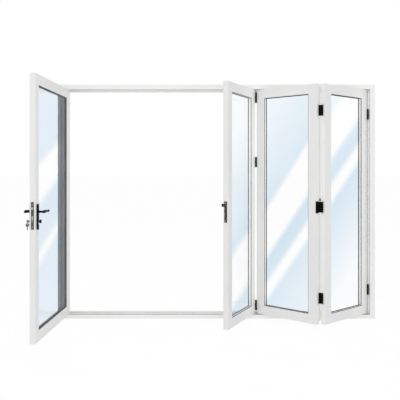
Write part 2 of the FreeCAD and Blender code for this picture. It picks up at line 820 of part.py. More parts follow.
def make_bolts():
    """The latch, bevelled on the side that meets the keep first, and the square dead bolt."""
    tail = "lock_edge - latch_tail"
    nose = "lock_edge + edge_plate + latch_throw"
    low = "leaf_middle - bolt_thickness / 2"
    high = "leaf_middle + bolt_thickness / 2"
    section = [
        (tail, low), (nose, low), (nose, low + " + latch_nose"), ("lock_edge + edge_plate", high), (tail, high),
    ]
    start = "latch_level - latch_height / 2"
    node("latch_bolt", extrude("latch_bolt", "XY_Plane", [section], "latch_height", start), "access_leaf")
    reach = rectangle(("lock_edge - dead_tail", low), ("lock_edge + edge_plate", high))
    start = "dead_level - dead_height / 2"
    node("dead_bolt", extrude("dead_bolt", "XY_Plane", [reach], "dead_height", start), "access_leaf")


def make_keep():
    """The keep on the free edge of leaf 2, with a lip for the latch."""
    edge = SPANS["leaf_2"][0]
    span = (edge + " - edge_plate", edge)
    plate = upright_box("keep_plate", span, "keep_width / 2", "plate_middle", "keep_length / 2")
    lip = box(
        "keep_lip", (span[0], "leaf_middle + keep_width / 2", "latch_level - keep_lip_height / 2"),
        ("edge_plate", "keep_lip", "keep_lip_height"),
    )
    openings = bolt_openings("keep", span, "keep_clearance")
    node("lock_keep", cut("lock_keep", join("keep_blank", plate, lip), *openings), "leaf_2")


# Handles, cylinder plug and keys

def make_backplate(name, start):
    corner = (
        "spindle_x - backplate_width / 2", start,
        "handle_height - backplate_drop - backplate_length / 2",
    )
    size = ("backplate_width", "backplate_thickness", "backplate_length")
    blank = soft_box(name + "_blank", corner, size, "backplate_round")
    radius = "neck_radius + handle_clearance"
    spindle = rod(name + "_spindle", ("spindle_x", start, "handle_height"), "y", radius, "backplate_thickness")
    cylinder = cylinder_form(name + "_cylinder", start, "backplate_thickness", "handle_clearance")
    node(name, cut(name, blank, spindle, cylinder), "access_leaf")


def make_lever(name, face, out):
    """A lever on one face of the leaf: rose, neck, and a grip lofted through ellipses to a slim end."""
    neck_start = face if out == "+" else "%s - neck_length" % face
    rose_start = "%s + handle_clearance" % face
    if out == "-":
        rose_start = "%s - handle_clearance - rose_length" % face
    neck = rod(name + "_neck", ("spindle_x", neck_start, "handle_height"), "y", "neck_radius", "neck_length")
    rose = rod(name + "_rose", ("spindle_x", rose_start, "handle_height"), "y", "rose_radius", "rose_length")
    grip_y = "%s %s neck_length" % (face, out)
    stations = [
        ("grip_heel", "heel_share"),
        ("0", "1"),
        ("-grip_length / 2", "waist_share"),
        ("-grip_length", "tip_share"),
    ]
    rings = []
    for along, share in stations:
        ring = doc.addObject("Part::Ellipse", name + "_ring")
        ring.Placement.Rotation = Rotation(Vector(0, 1, 0), -90)
        move(ring, ("spindle_x + " + along, grip_y, "handle_height"))
        bind(ring, "MajorRadius", "grip_height * " + share)
        bind(ring, "MinorRadius", "grip_thickness * " + share)
        rings.append(ring)
    grip = doc.addObject("Part::Loft", name + "_grip")
    grip.Sections = rings
    grip.Solid = True
    node(name, join(name, neck, rose, grip), "access_leaf")


def make_handles():
    outside = "pin_offset - backplate_thickness"
    inside = "inner_face + backplate_thickness"
    make_backplate("outer_backplate", outside)
    make_backplate("inner_backplate", "inner_face")
    make_lever("outer_lever", outside, "-")
    make_lever("inner_lever", inside, "+")
    half = "spindle_square / 2"
    shank = rectangle(("spindle_x - " + half, outside), ("spindle_x + " + half, inside))
    spindle = extrude("lever_spindle", "XY_Plane", [shank], "spindle_square", "handle_height - " + half)
    node("lever_spindle", spindle, "access_leaf")


def make_plug():
    """The turning plug, its keyway, and the thumbturn on its indoor end."""
    blank = rod(
        "plug_blank", ("spindle_x", "cylinder_out", "cylinder_height"), "y",
        "plug_radius", "cylinder_in - (cylinder_out)",
    )
    wide = "key_thickness + 2 * key_clearance"
    tall = "key_blade + 2 * key_clearance"
    keyway = box(
        "keyway", ("spindle_x - (%s) / 2" % wide, "cylinder_out", "cylinder_height - (%s) / 2" % tall),
        (wide, "key_insert + key_clearance", tall),
    )
    node("cylinder_plug", cut("cylinder_plug", blank, keyway), "access_leaf")
    neck = rod(
        "turn_stem", ("spindle_x", "cylinder_in", "cylinder_height"), "y", "plug_radius",
        "turn_neck + turn_round",
    )
    wing = soft_box(
        "turn_wing",
        ("spindle_x - turn_width / 2", "cylinder_in + turn_neck", "cylinder_height - turn_height / 2"),
        ("turn_width", "turn_length", "turn_height"), "turn_round",
    )
    node("thumbturn", join("thumbturn", neck, wing), "access_leaf")


def key_form(name, centre, bow_radius, point):
    """A flat key: a round bow with a hole, and a blade with cuts along one edge and a pointed end.

    point turns (distance from the bow's middle along the blade, distance across) into a (Y, Z) pair.
    """
    left = "spindle_x - key_thickness / 2"
    reach = bow_radius + " + key_tail"
    upper = "key_blade / 2"
    edge = [("0", "-(%s)" % upper), ("%s - %s" % (reach, upper), "-(%s)" % upper), (reach, "0")]
    for count in range(KEY_CUTS):
        crest = "%s - %s - %d * key_step" % (reach, upper, count)
        edge.append((crest, upper))
        edge.append((crest + " - key_step / 2", upper + " - key_cut"))
    edge.append(("0", upper))
    loop = [point(along, across) for along, across in edge]
    blade = extrude(name + "_blade", "YZ_Plane", [loop], "key_thickness", left)
    bow = rod(name + "_bow", (left,) + centre, "x", bow_radius, "key_thickness")
    eye = point("-(%s - key_hole_rim - key_hole)" % bow_radius, "0")
    hole = rod(name + "_hole", (left,) + eye, "x", "key_hole", "key_thickness")
    return cut(name, join(name + "_blank", bow, blade), hole)


def make_keys():
    """The key in the cylinder, and a spare that hangs from a ring through its bow."""
    key = key_form(
        "door_key", ("bow_middle", "cylinder_height"), "key_bow",
        lambda along, across: ("bow_middle + " + along, "cylinder_height + " + across),
    )
    node("door_key", key, "access_leaf")
    ring = doc.addObject("Part::Torus", "ring_loop")
    ring.Placement.Rotation = TURNS["y"]
    bind(ring, "Radius1", "ring_radius")
    bind(ring, "Radius2", "ring_wire")
    move(ring, ("spindle_x", "key_eye", "cylinder_height - ring_radius"))
    node("key_ring", group("key_ring", ring), "access_leaf")
    middle = "cylinder_height - 2 * ring_radius - spare_bow + key_hole_rim + key_hole"
    spare = key_form(
        "spare_key", ("key_eye", middle), "spare_bow",
        lambda along, across: ("key_eye + " + across, "%s - (%s)" % (middle, along)),
    )
    node("spare_key", spare, "access_leaf")


# Fold hardware

def make_pull():
    """A finger pull on the corner at the fold, hollowed along its far side, and hooked round to the hinge."""
    edge = SPANS["leaf_3"][1]
    left = edge + " - pull_width"
    foot = "handle_height - pull_length / 2"
    face = "pin_offset - pull_thickness"
    blank = soft_box(
        "pull_blank", (left, face, foot), ("pull_width", "pull_thickness", "pull_length"), "pull_round",
    )
    hook_start = "pin_offset - pull_lap"
    hook_end = "pin_span - arm_reach - fold_depth - pull_play"
    hook = box(
        "pull_hook", (edge, hook_start, foot),
        ("hinge_plate", "%s - (%s)" % (hook_end, hook_start), "pull_length"),
    )
    scoop = rod("pull_scoop_cut", (left, "pin_offset", foot), "z", "pull_scoop", "pull_length")
    node("fold_pull", cut("fold_pull", join("pull_form", blank, hook), scoop), "leaf_3")


def make_carriage():
    """The truck that runs in the head track, with its axles and the pin that hangs the fold."""
    line = "-(pin_line)"
    start = "axle_height - truck_height / 2"
    truck = soft_box(
        "truck", ("carriage_x - truck_length / 2", line + " - truck_width / 2", start),
        ("truck_length", "truck_width", "truck_height"), "truck_round",
    )
    half = "wheel_gap + wheel_width"
    axles = [
        rod(
            "axle", ("carriage_x %s wheel_base / 2" % sign, "%s - (%s)" % (line, half), "axle_height"), "y",
            "axle_radius", "2 * (%s)" % half,
        )
        for sign in "+-"
    ]
    foot = "leaf_bottom + carriage_hinge - hinge_height / 2 - pin_cap"
    pin = rod("hanger", ("carriage_x", line, foot), "z", "pin_radius", "axle_height - (%s)" % foot)
    cap = rod("hanger_cap", ("carriage_x", line, foot + " - pin_cap"), "z", "pin_cap_radius", "pin_cap")
    crown = "leaf_bottom + carriage_hinge + hinge_height / 2 + pin_cap"
    collar = rod("collar", ("carriage_x", line, crown), "z", "collar_radius", "collar_length")
    node("top_carriage", join("top_carriage", truck, pin, cap, collar, *axles))


def make_wheels(name, sign):
    """Two bevelled wheels on one axle of the truck."""
    bore = "axle_radius + pin_clearance"
    rim = "wheel_radius - wheel_bevel"
    wheels = []
    for out in "+-":
        near = "%swheel_gap" % out
        far = "%s(wheel_gap + wheel_width)" % out
        inner = "%s(wheel_gap + wheel_bevel)" % out
        outer = "%s(wheel_gap + wheel_width - wheel_bevel)" % out
        section = [
            (near, bore), (far, bore), (far, rim), (outer, "wheel_radius"), (inner, "wheel_radius"),
            (near, rim),
        ]
        body = doc.addObject("PartDesign::Body", name + "_wheel")
        turned = body.newObject("PartDesign::Revolution", name + "_turned")
        sketch = outline(body, "YZ_Plane", name + "_section", [section])
        turned.Profile = sketch
        turned.ReferenceAxis = (sketch, ["H_Axis"])
        turned.Angle = 360
        body.Tip = turned
        wheels.append(body)
    pair = group(name, *wheels)
    move(pair, ("carriage_x %s wheel_base / 2" % sign, "-(pin_line)", "axle_height"))
    node(name, pair)


def make_guide():
    """The guide that runs in the sill track: a shoe, a flange above the sill and the lower fold pin."""
    line = "-(pin_line)"
    width = "guide_width - 2 * guide_wall - 2 * shoe_play"
    floor = "guide_floor + guide_wall + shoe_play"
    shoe = box(
        "shoe", ("carriage_x - shoe_length / 2", "%s - (%s) / 2" % (line, width), floor),
        ("shoe_length", width, "shoe_height"),
    )
    deck = "sill_face + flange_lift"
    flange = box(
        "flange", ("carriage_x - flange_length / 2", line + " - flange_width / 2", deck),
        ("flange_length", "flange_width", "flange_thickness"),
    )
    crown = "leaf_bottom + guide_hinge_low + hinge_height / 2 + pin_cap"
    pin = rod("guide_pin", ("carriage_x", line, floor), "z", "pin_radius", "%s - (%s)" % (crown, floor))
    cap = rod("guide_cap", ("carriage_x", line, crown), "z", "pin_cap_radius", "pin_cap")
    node("bottom_guide", join("bottom_guide", shoe, flange, pin, cap))


# Assembly

make_head()
make_sill()
make_jamb("frame_left_jamb", "-")
make_jamb("frame_right_jamb", "+")
make_tracks()
make_seals()
make_jamb_hinges()

access_bars = leaf_bars("access", "access_leaf")
node("access_hinge_stile", access_bars["left"], "access_leaf")
make_lock_stile(access_bars["right"])
node("access_rails", group("access_rails", access_bars["bottom"], access_bars["top"]), "access_leaf")
glaze("access", "access_leaf")

for leaf_name in ("leaf_2", "leaf_3", "leaf_4"):
    fold_bars = leaf_bars(leaf_name, leaf_name)
    if leaf_name == "leaf_2":
        free_edge = SPANS["leaf_2"][0]
        ways = bolt_openings("stile", (free_edge, free_edge + " + leaf_wall"), "keep_clearance")
        fold_bars["left"] = cut("leaf_2_free_stile", fold_bars["left"], *ways)
    covers = fold_strips() if leaf_name == "leaf_3" else []
    stiles = group(leaf_name + "_stiles", fold_bars["left"], fold_bars["right"], *covers)
    node(leaf_name + "_stiles", stiles, leaf_name)
    node(leaf_name + "_rails", group(leaf_name + "_rails", fold_bars["bottom"], fold_bars["top"]), leaf_name)
    glaze(leaf_name, leaf_name)

make_leaf_hinges()
make_lock()
make_bolts()
make_keep()
make_handles()
make_plug()
make_keys()
make_pull()
make_carriage()
make_wheels("front_wheels", "-")
make_wheels("rear_wheels", "+")
make_guide()
doc.recompute()

# Checks, then one file for each piece

for obj in doc.Objects:
    if "Invalid" in obj.State or "Error" in obj.State:
        raise ValueError("%s (%s) failed: %s" % (obj.Name, obj.Label, obj.State))
for piece in NODES:
    if piece.Shape.isNull() or not piece.Shape.isValid():
        raise ValueError(piece.Label + ": no valid shape")

os.makedirs("parts", exist_ok=True)
for piece in NODES:
    piece.Shape.exportStep(os.path.join("parts", piece.Label + ".step"))
print("%d pieces written" % len(NODES))
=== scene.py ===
# %% [markdown]
# # A folding patio door
#
# The solids of this door come from a CAD model: frame, leaves, glass, hinges, lock and keys. This lesson
# dresses them. Each step gives one finish or one small piece, says what it is on the real door, and why
# it is made that way. Everything is in metres, with X along the sill, Y indoors and Z up.

import json
import math

import bmesh
import bpy
from mathutils import Matrix, Vector


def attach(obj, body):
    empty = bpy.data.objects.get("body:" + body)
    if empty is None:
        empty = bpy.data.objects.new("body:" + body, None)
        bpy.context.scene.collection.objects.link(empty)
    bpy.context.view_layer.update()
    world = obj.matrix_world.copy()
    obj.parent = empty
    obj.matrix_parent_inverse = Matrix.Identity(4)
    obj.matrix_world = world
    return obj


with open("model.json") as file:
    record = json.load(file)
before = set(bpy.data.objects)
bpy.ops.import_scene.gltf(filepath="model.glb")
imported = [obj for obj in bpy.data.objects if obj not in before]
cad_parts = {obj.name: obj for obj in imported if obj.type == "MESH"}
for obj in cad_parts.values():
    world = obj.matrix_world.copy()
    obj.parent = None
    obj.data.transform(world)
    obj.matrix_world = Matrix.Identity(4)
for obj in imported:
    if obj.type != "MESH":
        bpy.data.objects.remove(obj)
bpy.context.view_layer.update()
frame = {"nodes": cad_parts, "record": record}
NODES = frame["nodes"]
SLOT_OF = {row["node"]: row["material_slot"] for row in frame["record"]["subparts"]}

# %% [markdown]
# ## Helpers for node trees
#
# A material is a graph of nodes. Writing each node and link out by hand hides the idea, so small helpers
# do it: one adds a node with its settings, and one starts a group with named inputs and outputs. An effect
# that several finishes share becomes such a group, so that it is built once and changed in one place.

# %% Node helpers


def add(tree, kind, inputs=None, **settings):
    """Add a node, set its properties, and set or link its inputs."""
    made = tree.nodes.new(kind)
    for name, value in settings.items():
        setattr(made, name, value)
    for name, value in (inputs or {}).items():
        socket = made.inputs[name]
        if isinstance(value, bpy.types.NodeSocket):
            tree.links.new(value, socket)
        else:
            socket.default_value = value
    return made


def new_group(name, inputs, outputs):
    """An empty shader group. Inputs are (name, kind, default); outputs are (name, kind)."""
    tree = bpy.data.node_groups.new(name, "ShaderNodeTree")
    for label, kind, default in inputs:
        socket = tree.interface.new_socket(label, in_out="INPUT", socket_type="NodeSocket" + kind)
        socket.default_value = default
    for label, kind in outputs:
        tree.interface.new_socket(label, in_out="OUTPUT", socket_type="NodeSocket" + kind)
    given = tree.nodes.new("NodeGroupInput").outputs
    result = tree.nodes.new("NodeGroupOutput").inputs
    return tree, given, result


print("node helpers ready")

# %% [markdown]
# ## Steps that are used often
#
# Most finishes need the same few steps: where on the piece a point is, a noise there, a value moved from
# one range to another, and a mix of two colours. Each gets a short name, so that the finishes below read
# like recipes. Every input may be a number or the socket of another node.

# %% Node steps


def surface_place(tree):
    """Where on the piece a point is. It stays with the piece when the piece moves."""
    return add(tree, "ShaderNodeTexCoord").outputs["Object"]


def noise(tree, place, scale, detail, roughness=0.5):
    """A cloudy value over the surface."""
    values = {"Vector": place, "Scale": scale, "Detail": detail, "Roughness": roughness}
    return add(tree, "ShaderNodeTexNoise", values).outputs["Fac"]


def ranged(tree, value, limits, results=(0.0, 1.0), **settings):
    """Move a value from the range of limits to the range of results."""
    values = {
        "Value": value, "From Min": limits[0], "From Max": limits[1],
        "To Min": results[0], "To Max": results[1],
    }
    return add(tree, "ShaderNodeMapRange", values, **settings).outputs["Result"]


def blend(tree, factor, first, second):
    """A mix of two colours."""
    values = {"Factor": factor, "A": first, "B": second}
    return add(tree, "ShaderNodeMix", values, data_type="RGBA").outputs["Result"]


print("node steps ready")

# %% [markdown]
# ## Powder coat
#
# The white bars and the black fittings are powder coated: the paint is baked on, and it keeps a very fine
# orange-peel texture that softens every highlight. Seen close it also varies a little in tone, where hands
# and rain have been. A picture of paint would need a seam somewhere. Noise in the piece's own space has
# none, so a fine noise gives the peel, a broad one the tone, and a third the marks in the shine.

# %% Powder coat group

# Each noise: its scale, its detail and, where it isn't the usual one, its roughness.
TONE_NOISE = (2.3, 4.0)
MARK_NOISE = (55.0, 5.0, 0.7)
PEEL_DETAIL = 3.0
TONE_RANGE = (0.38, 0.68)
MARK_RANGE = (0.3, 0.7)


def build_powder_coat():
    tree, given, result = new_group(
        "powder_coat",
        [
            ("Colour", "Color", (0.8, 0.8, 0.8, 1.0)),
            ("Toned Colour", "Color", (0.7, 0.7, 0.7, 1.0)),
            ("Peel Scale", "Float", 700.0),
            ("Roughness Low", "Float", 0.3),
            ("Roughness High", "Float", 0.45),
        ],
        [("Colour", "Color"), ("Roughness", "Float"), ("Height", "Float")],
    )
    place = surface_place(tree)
    peel = noise(tree, place, given["Peel Scale"], PEEL_DETAIL)
    tone = ranged(tree, noise(tree, place, *TONE_NOISE), TONE_RANGE, interpolation_type="SMOOTHSTEP")
    marks = noise(tree, place, *MARK_NOISE)
    roughness = (given["Roughness Low"], given["Roughness High"])
    tree.links.new(blend(tree, tone, given["Colour"], given["Toned Colour"]), result["Colour"])
    tree.links.new(ranged(tree, marks, MARK_RANGE, roughness), result["Roughness"])
    tree.links.new(peel, result["Height"])
    return tree


POWDER_COAT = build_powder_coat()
print("group", POWDER_COAT.name)

# %% [markdown]
# ## Rubbed edges
#
# Handles and hinges are touched and knocked, so the coat thins first at the edges. The Bevel node knows
# how the surface would turn if its edges were rounded: where that differs from the true normal, there is
# an edge. Painting each edge by hand would take long and break when a piece changes. Breaking the result
# with noise keeps the rub from looking like a drawn outline.

# %% Rubbed edge group

EDGE_SAMPLES = 4
EDGE_RANGE = (0.985, 0.87)
PATCH_NOISE = (90.0, 4.0)
PATCH_RANGE = (0.42, 0.62)


def figure(tree, operation, first, second=0.0):
    """One step of arithmetic."""
    return add(tree, "ShaderNodeMath", {0: first, 1: second}, operation=operation).outputs[0]


def build_rubbed_edge():
    tree, given, result = new_group(
        "rubbed_edge",
        [("Reach", "Float", 0.002), ("Amount", "Float", 1.0)],
        [("Mask", "Float")],
    )
    true_normal = add(tree, "ShaderNodeNewGeometry").outputs["Normal"]
    rounded = add(tree, "ShaderNodeBevel", {"Radius": given["Reach"]}, samples=EDGE_SAMPLES)
    agreement = add(
        tree, "ShaderNodeVectorMath",
        {0: true_normal, 1: rounded.outputs["Normal"]}, operation="DOT_PRODUCT",
    )
    edge = ranged(tree, agreement.outputs["Value"], EDGE_RANGE, interpolation_type="SMOOTHSTEP")
    broken = ranged(tree, noise(tree, surface_place(tree), *PATCH_NOISE), PATCH_RANGE)
    rub = figure(tree, "MULTIPLY", edge, broken)
    tree.links.new(figure(tree, "MULTIPLY", rub, given["Amount"]), result["Mask"])
    return tree


RUBBED_EDGE = build_rubbed_edge()
print("group", RUBBED_EDGE.name)

# %% [markdown]
# ## Drawn metal
#
# Steel plates and aluminium tracks keep fine lines from rolling or drawing. A noise that is squeezed
# across the lines and stretched along them gives long streaks, and a few round spots break them. A wave
# texture would give lines too, but too even ones. Each metal says how it is stretched, so lines run along
# a track but up a lock plate.

# %% Drawn metal group

LINE_NOISE = (1.0, 6.0, 0.65)
LINE_RANGE = (0.3, 0.7)
SPOT_NOISE = (120.0, 3.0)
SPOT_SHARE = 0.3


def build_drawn_metal():
    tree, given, result = new_group(
        "drawn_metal",
        [
            ("Stretch", "Vector", (1.0, 1.0, 1.0)),
            ("Dark", "Color", (0.3, 0.3, 0.3, 1.0)),
            ("Light", "Color", (0.6, 0.6, 0.6, 1.0)),
            ("Roughness Low", "Float", 0.25),
            ("Roughness High", "Float", 0.45),
        ],
        [("Colour", "Color"), ("Roughness", "Float"), ("Height", "Float")],
    )
    place = surface_place(tree)
    stretched = add(tree, "ShaderNodeVectorMath", {0: place, 1: given["Stretch"]}, operation="MULTIPLY")
    lines = noise(tree, stretched.outputs["Vector"], *LINE_NOISE)
    spots = noise(tree, place, *SPOT_NOISE)
    both = add(tree, "ShaderNodeMix", {"Factor": SPOT_SHARE, "A": lines, "B": spots}, data_type="FLOAT")
    level = ranged(tree, both.outputs["Result"], LINE_RANGE)
    roughness = (given["Roughness High"], given["Roughness Low"])
    tree.links.new(blend(tree, level, given["Dark"], given["Light"]), result["Colour"])
    tree.links.new(ranged(tree, level, (0.0, 1.0), roughness), result["Roughness"])
    tree.links.new(lines, result["Height"])
    return tree


DRAWN_METAL = build_drawn_metal()
print("group", DRAWN_METAL.name)

# %% [markdown]
# ## From group to material
#
# A group does nothing by itself. A material places it, sets its inputs, and leads its outputs into the
# Principled shader that every new material starts with. The fine height becomes a bump, which turns the
# light as real dents would. Modelling dents as small as these would take millions of points.

# %% Material helpers


def new_material(name):
    """A new material with its tree and its one Principled shader."""
    material = bpy.data.materials.new(name)
    material.use_nodes = True
    tree = material.node_tree
    return material, tree, tree.nodes["Principled BSDF"]


def use(tree, group, **inputs):
    """Place a group in a material. Input names are written with underscores for spaces."""
    values = {name.replace("_", " "): value for name, value in inputs.items()}
    return add(tree, "ShaderNodeGroup", values, node_tree=group).outputs


def bump(tree, height, strength, distance):
    """A normal that follows a height over the surface."""
    values = {"Height": height, "Strength": strength, "Distance": distance}
    return add(tree, "ShaderNodeBump", values).outputs["Normal"]


def cover(tree, shader, colour, finish, relief, depth):
    """Lead a finish's colour, roughness and fine relief into a shader."""
    tree.links.new(colour, shader.inputs["Base Color"])
    tree.links.new(finish["Roughness"], shader.inputs["Roughness"])
    tree.links.new(bump(tree, finish["Height"], relief, depth), shader.inputs["Normal"])


print("material helpers ready")

# %% [markdown]
# ## White bars
#
# Frame, leaf bars and beads share one satin white. The beads are extruded from another die and take the
# coat a touch brighter, and the frame is brighter again. One plain white for all would hide the joints
# between them, so each gets its own values of the same group.

# %% White finishes

# Each white: its colour and its second tone.
WHITES = {
    "frame_white": ((0.800, 0.800, 0.792, 1.0), (0.775, 0.775, 0.765, 1.0)),
    "leaf_white": ((0.735, 0.737, 0.731, 1.0), (0.712, 0.714, 0.708, 1.0)),
    "bead_white": ((0.750, 0.752, 0.746, 1.0), (0.727, 0.729, 0.723, 1.0)),
}
WHITE_PEEL = 620.0
WHITE_ROUGHNESS = (0.34, 0.46)
WHITE_RELIEF = 0.35
PEEL_DEPTH = 0.00006


def make_coated(name, colour, toned, peel, smooth, rough, relief):
    """A coat with a colour, a second tone, the scale of its peel, and how rough it is."""
    material, tree, shader = new_material(name)
    coat = use(
        tree, POWDER_COAT, Colour=colour, Toned_Colour=toned, Peel_Scale=peel,
        Roughness_Low=smooth, Roughness_High=rough,
    )
    cover(tree, shader, coat["Colour"], coat, relief, PEEL_DEPTH)
    return material


def make_white(name, colour, toned):
    return make_coated(name, colour, toned, WHITE_PEEL, *WHITE_ROUGHNESS, WHITE_RELIEF)


FINISH = {slot: make_white(slot, *tones) for slot, tones in WHITES.items()}
print("finishes:", ", ".join(FINISH))

# %% [markdown]
# ## The jamb behind the glass
#
# The left jamb is also seen through the glass of the open leaf. A real pane at so steep an angle keeps most
# of the light off what is behind it, and the white turns slate grey. The panes here let light pass, for
# the sake of everything else, so the jamb's coat carries that shade itself: a Light Path node tells which
# rays have come through glass, and only they meet the grey.

# %% Shaded jamb

# Painted shade of the left jamb, for rays that have come through glass.
JAMB_SHADE = (0.050, 0.074, 0.094, 1.0)


def shade_behind_glass(material, shade):
    """Paint onto a coat the shade that it has where it is seen through a pane."""
    tree = material.node_tree
    coat = tree.nodes["Principled BSDF"].outputs[0]
    shaded = add(tree, "ShaderNodeBsdfDiffuse", {"Color": shade}).outputs[0]
    came_through = add(tree, "ShaderNodeLightPath").outputs["Is Transmission Ray"]
    seen = add(tree, "ShaderNodeMixShader", {0: came_through, 1: coat, 2: shaded})
    tree.links.new(seen.outputs[0], tree.nodes["Material Output"].inputs["Surface"])


FINISH["jamb_white_painted_shade"] = make_white("jamb_white_painted_shade", *WHITES["frame_white"])
shade_behind_glass(FINISH["jamb_white_painted_shade"], JAMB_SHADE)
print("finish: jamb_white_painted_shade, slate behind glass")

# %% [markdown]
# ## Black fittings
#
# Hinges are coated in a dry matt black, handles in a smoother satin. Both rub through to a dull grey at
# the edges, the handles more, because hands reach them. The coat and the rub are the two groups from
# above, mixed by the rub's mask, and the shine is held low so that the black stays deep in a white room.

# %% Black finishes

# Each black: its colour, its second tone, how smooth and how rough it gets, and how much it is rubbed.
BLACKS = {
    "hinge_black": ((0.004, 0.004, 0.005, 1.0), (0.008, 0.008, 0.009, 1.0), 0.42, 0.60, 0.25),
    "handle_black": ((0.003, 0.003, 0.004, 1.0), (0.006, 0.006, 0.007, 1.0), 0.26, 0.40, 0.35),
}
WORN_BLACK = (0.05, 0.05, 0.05, 1.0)
BLACK_PEEL = 1100.0
BLACK_RELIEF = 0.5
BLACK_SHINE = 0.03
RUB_REACH = 0.0012


def make_black(slot, colour, toned, smooth, rough, rubbed):
    material, tree, shader = new_material(slot)
    coat = use(
        tree, POWDER_COAT, Colour=colour, Toned_Colour=toned, Peel_Scale=BLACK_PEEL,
        Roughness_Low=smooth, Roughness_High=rough,
    )
    worn = use(tree, RUBBED_EDGE, Reach=RUB_REACH, Amount=rubbed)["Mask"]
    cover(tree, shader, blend(tree, worn, coat["Colour"], WORN_BLACK), coat, BLACK_RELIEF, PEEL_DEPTH)
    shader.inputs["Specular IOR Level"].default_value = BLACK_SHINE
    return material


for slot, values in BLACKS.items():
    FINISH[slot] = make_black(slot, *values)
print("finishes:", ", ".join(BLACKS))

# %% [markdown]
# ## Bare metals
#
# The lock plate is rolled steel, burnished dark, with upright lines, and the keep is darker still. Cylinder
# and bolts are bright nickel, the keys a duller one that pockets have greyed. The tracks are pale aluminium
# drawn along the sill. All of them are the drawn metal group with other colours and another stretch, because
# what tells one bare metal from another is its colour and the way it was worked.

# %% Metal finishes

UPRIGHT = (900.0, 900.0, 14.0)
ALONG_SILL = (14.0, 900.0, 900.0)
EVEN = (260.0, 260.0, 260.0)
# Each metal: its stretch, its dark and its light colour, and how smooth and how rough it gets.
METALS = {
    "lock_steel": (UPRIGHT, (0.070, 0.070, 0.066, 1.0), (0.150, 0.150, 0.142, 1.0), 0.30, 0.48),
    "keep_steel": (UPRIGHT, (0.035, 0.035, 0.032, 1.0), (0.085, 0.085, 0.08, 1.0), 0.34, 0.52),
    "cylinder_nickel": (EVEN, (0.34, 0.33, 0.31, 1.0), (0.58, 0.57, 0.54, 1.0), 0.22, 0.36),
    "key_nickel": (EVEN, (0.08, 0.08, 0.08, 1.0), (0.19, 0.19, 0.18, 1.0), 0.18, 0.34),
    "track_aluminium": (ALONG_SILL, (0.78, 0.78, 0.78, 1.0), (0.88, 0.88, 0.88, 1.0), 0.34, 0.50),
    "carriage_grey": (UPRIGHT, (0.36, 0.36, 0.37, 1.0), (0.56, 0.56, 0.57, 1.0), 0.30, 0.46),
}
METAL_RELIEF = 0.4
METAL_DEPTH = 0.00004


def make_metal(slot, stretch, dark, light, smooth, rough):
    material, tree, shader = new_material(slot)
    drawn = use(
        tree, DRAWN_METAL, Stretch=stretch, Dark=dark, Light=light,
        Roughness_Low=smooth, Roughness_High=rough,
    )
    cover(tree, shader, drawn["Colour"], drawn, METAL_RELIEF, METAL_DEPTH)
    shader.inputs["Metallic"].default_value = 1.0
    return material


for slot, values in METALS.items():
    FINISH[slot] = make_metal(slot, *values)
print("finishes:", ", ".join(METALS))

# %% [markdown]
# ## Rubber and nylon
#
# The glazing gaskets are soft black rubber with a dusty bloom. The spacer bar between the panes is pale in
# the folding leaves; in the access leaf it is painted dark: painted shade, as on the jamb seen through the
# same glass. The weather seals are a pale grey rubber, the carriage wheels a dark nylon. All are matt.
# A mottled colour and a rough, slightly uneven surface are enough for that, so they take the powder coat
# group too, with a stronger relief.

# %% Rubber and nylon finishes

# Each: its colour, its second tone, the scale of its peel, and how smooth and how rough it gets.
SOFT_FINISHES = {
    "gasket": ((0.018, 0.018, 0.019, 1.0), (0.045, 0.045, 0.044, 1.0), 420.0, 0.62, 0.82),
    "seal_grey": ((0.84, 0.84, 0.83, 1.0), (0.77, 0.77, 0.76, 1.0), 420.0, 0.62, 0.82),
    "spacer": ((0.96, 0.96, 0.95, 1.0), (0.92, 0.92, 0.91, 1.0), 600.0, 0.50, 0.70),
    # The access leaf's spacer: painted shade, as dark as what lies behind that leaf's glass.
    "spacer_painted_shade": ((0.012, 0.013, 0.015, 1.0), (0.024, 0.026, 0.028, 1.0), 600.0, 0.50, 0.70),
    "wheel_nylon": ((0.050, 0.050, 0.052, 1.0), (0.075, 0.075, 0.076, 1.0), 800.0, 0.42, 0.58),
}
SOFT_RELIEF = 0.6

for slot, values in SOFT_FINISHES.items():
    FINISH[slot] = make_coated(slot, *values, SOFT_RELIEF)
print("finishes:", ", ".join(SOFT_FINISHES))

# %% [markdown]
# ## Bands across a pane
#
# The panes are clear float glass. The pale blue sheets crossed by clear, slanting bands on them are a
# painted reflection of a pale sky. Real reflections of lamps would move off the pane with every view, so
# the painted bands are drawn in the pane's own plane: a position along the leaf and a height make one
# slanted height, and a band is whatever lies close to one value of it.

# %% Band steps

BAND_SOFTNESS = 0.055


def slanted_height(tree, start, along, slope):
    """The height over a line that climbs along a leaf from its start."""
    place = surface_place(tree)
    from_start = add(tree, "ShaderNodeVectorMath", {0: place, 1: start}, operation="SUBTRACT").outputs[0]
    across = add(tree, "ShaderNodeVectorMath", {0: from_start, 1: along}, operation="DOT_PRODUCT")
    height = add(tree, "ShaderNodeSeparateXYZ", {"Vector": from_start}).outputs["Z"]
    return figure(tree, "SUBTRACT", height, figure(tree, "MULTIPLY", across.outputs["Value"], slope))


def apart(tree, first, second):
    """How far two values are from each other."""
    return figure(tree, "ABSOLUTE", figure(tree, "SUBTRACT", first, second))


def band(tree, slanted, level, width):
    """A mask that is 1 inside a band and falls smoothly to 0 past its edges."""
    past = figure(tree, "SUBTRACT", apart(tree, slanted, level), figure(tree, "MULTIPLY", width, 0.5))
    limits = (-BAND_SOFTNESS, BAND_SOFTNESS)
    return ranged(tree, past, limits, (1.0, 0.0), interpolation_type="SMOOTHSTEP")


print("band steps ready")

# %% [markdown]
# ## Painted reflection on the glass
#
# A wide and a narrow clear band cross each pane. The blue is deepest beside them and fades away from them:
# a painted reflection of a pale sky. The leaves differ in this only by numbers, so it is one group with
# those numbers as its inputs, rather than four painted panes.

# %% Painted reflection group

FAINTEST_BLUE = 0.1


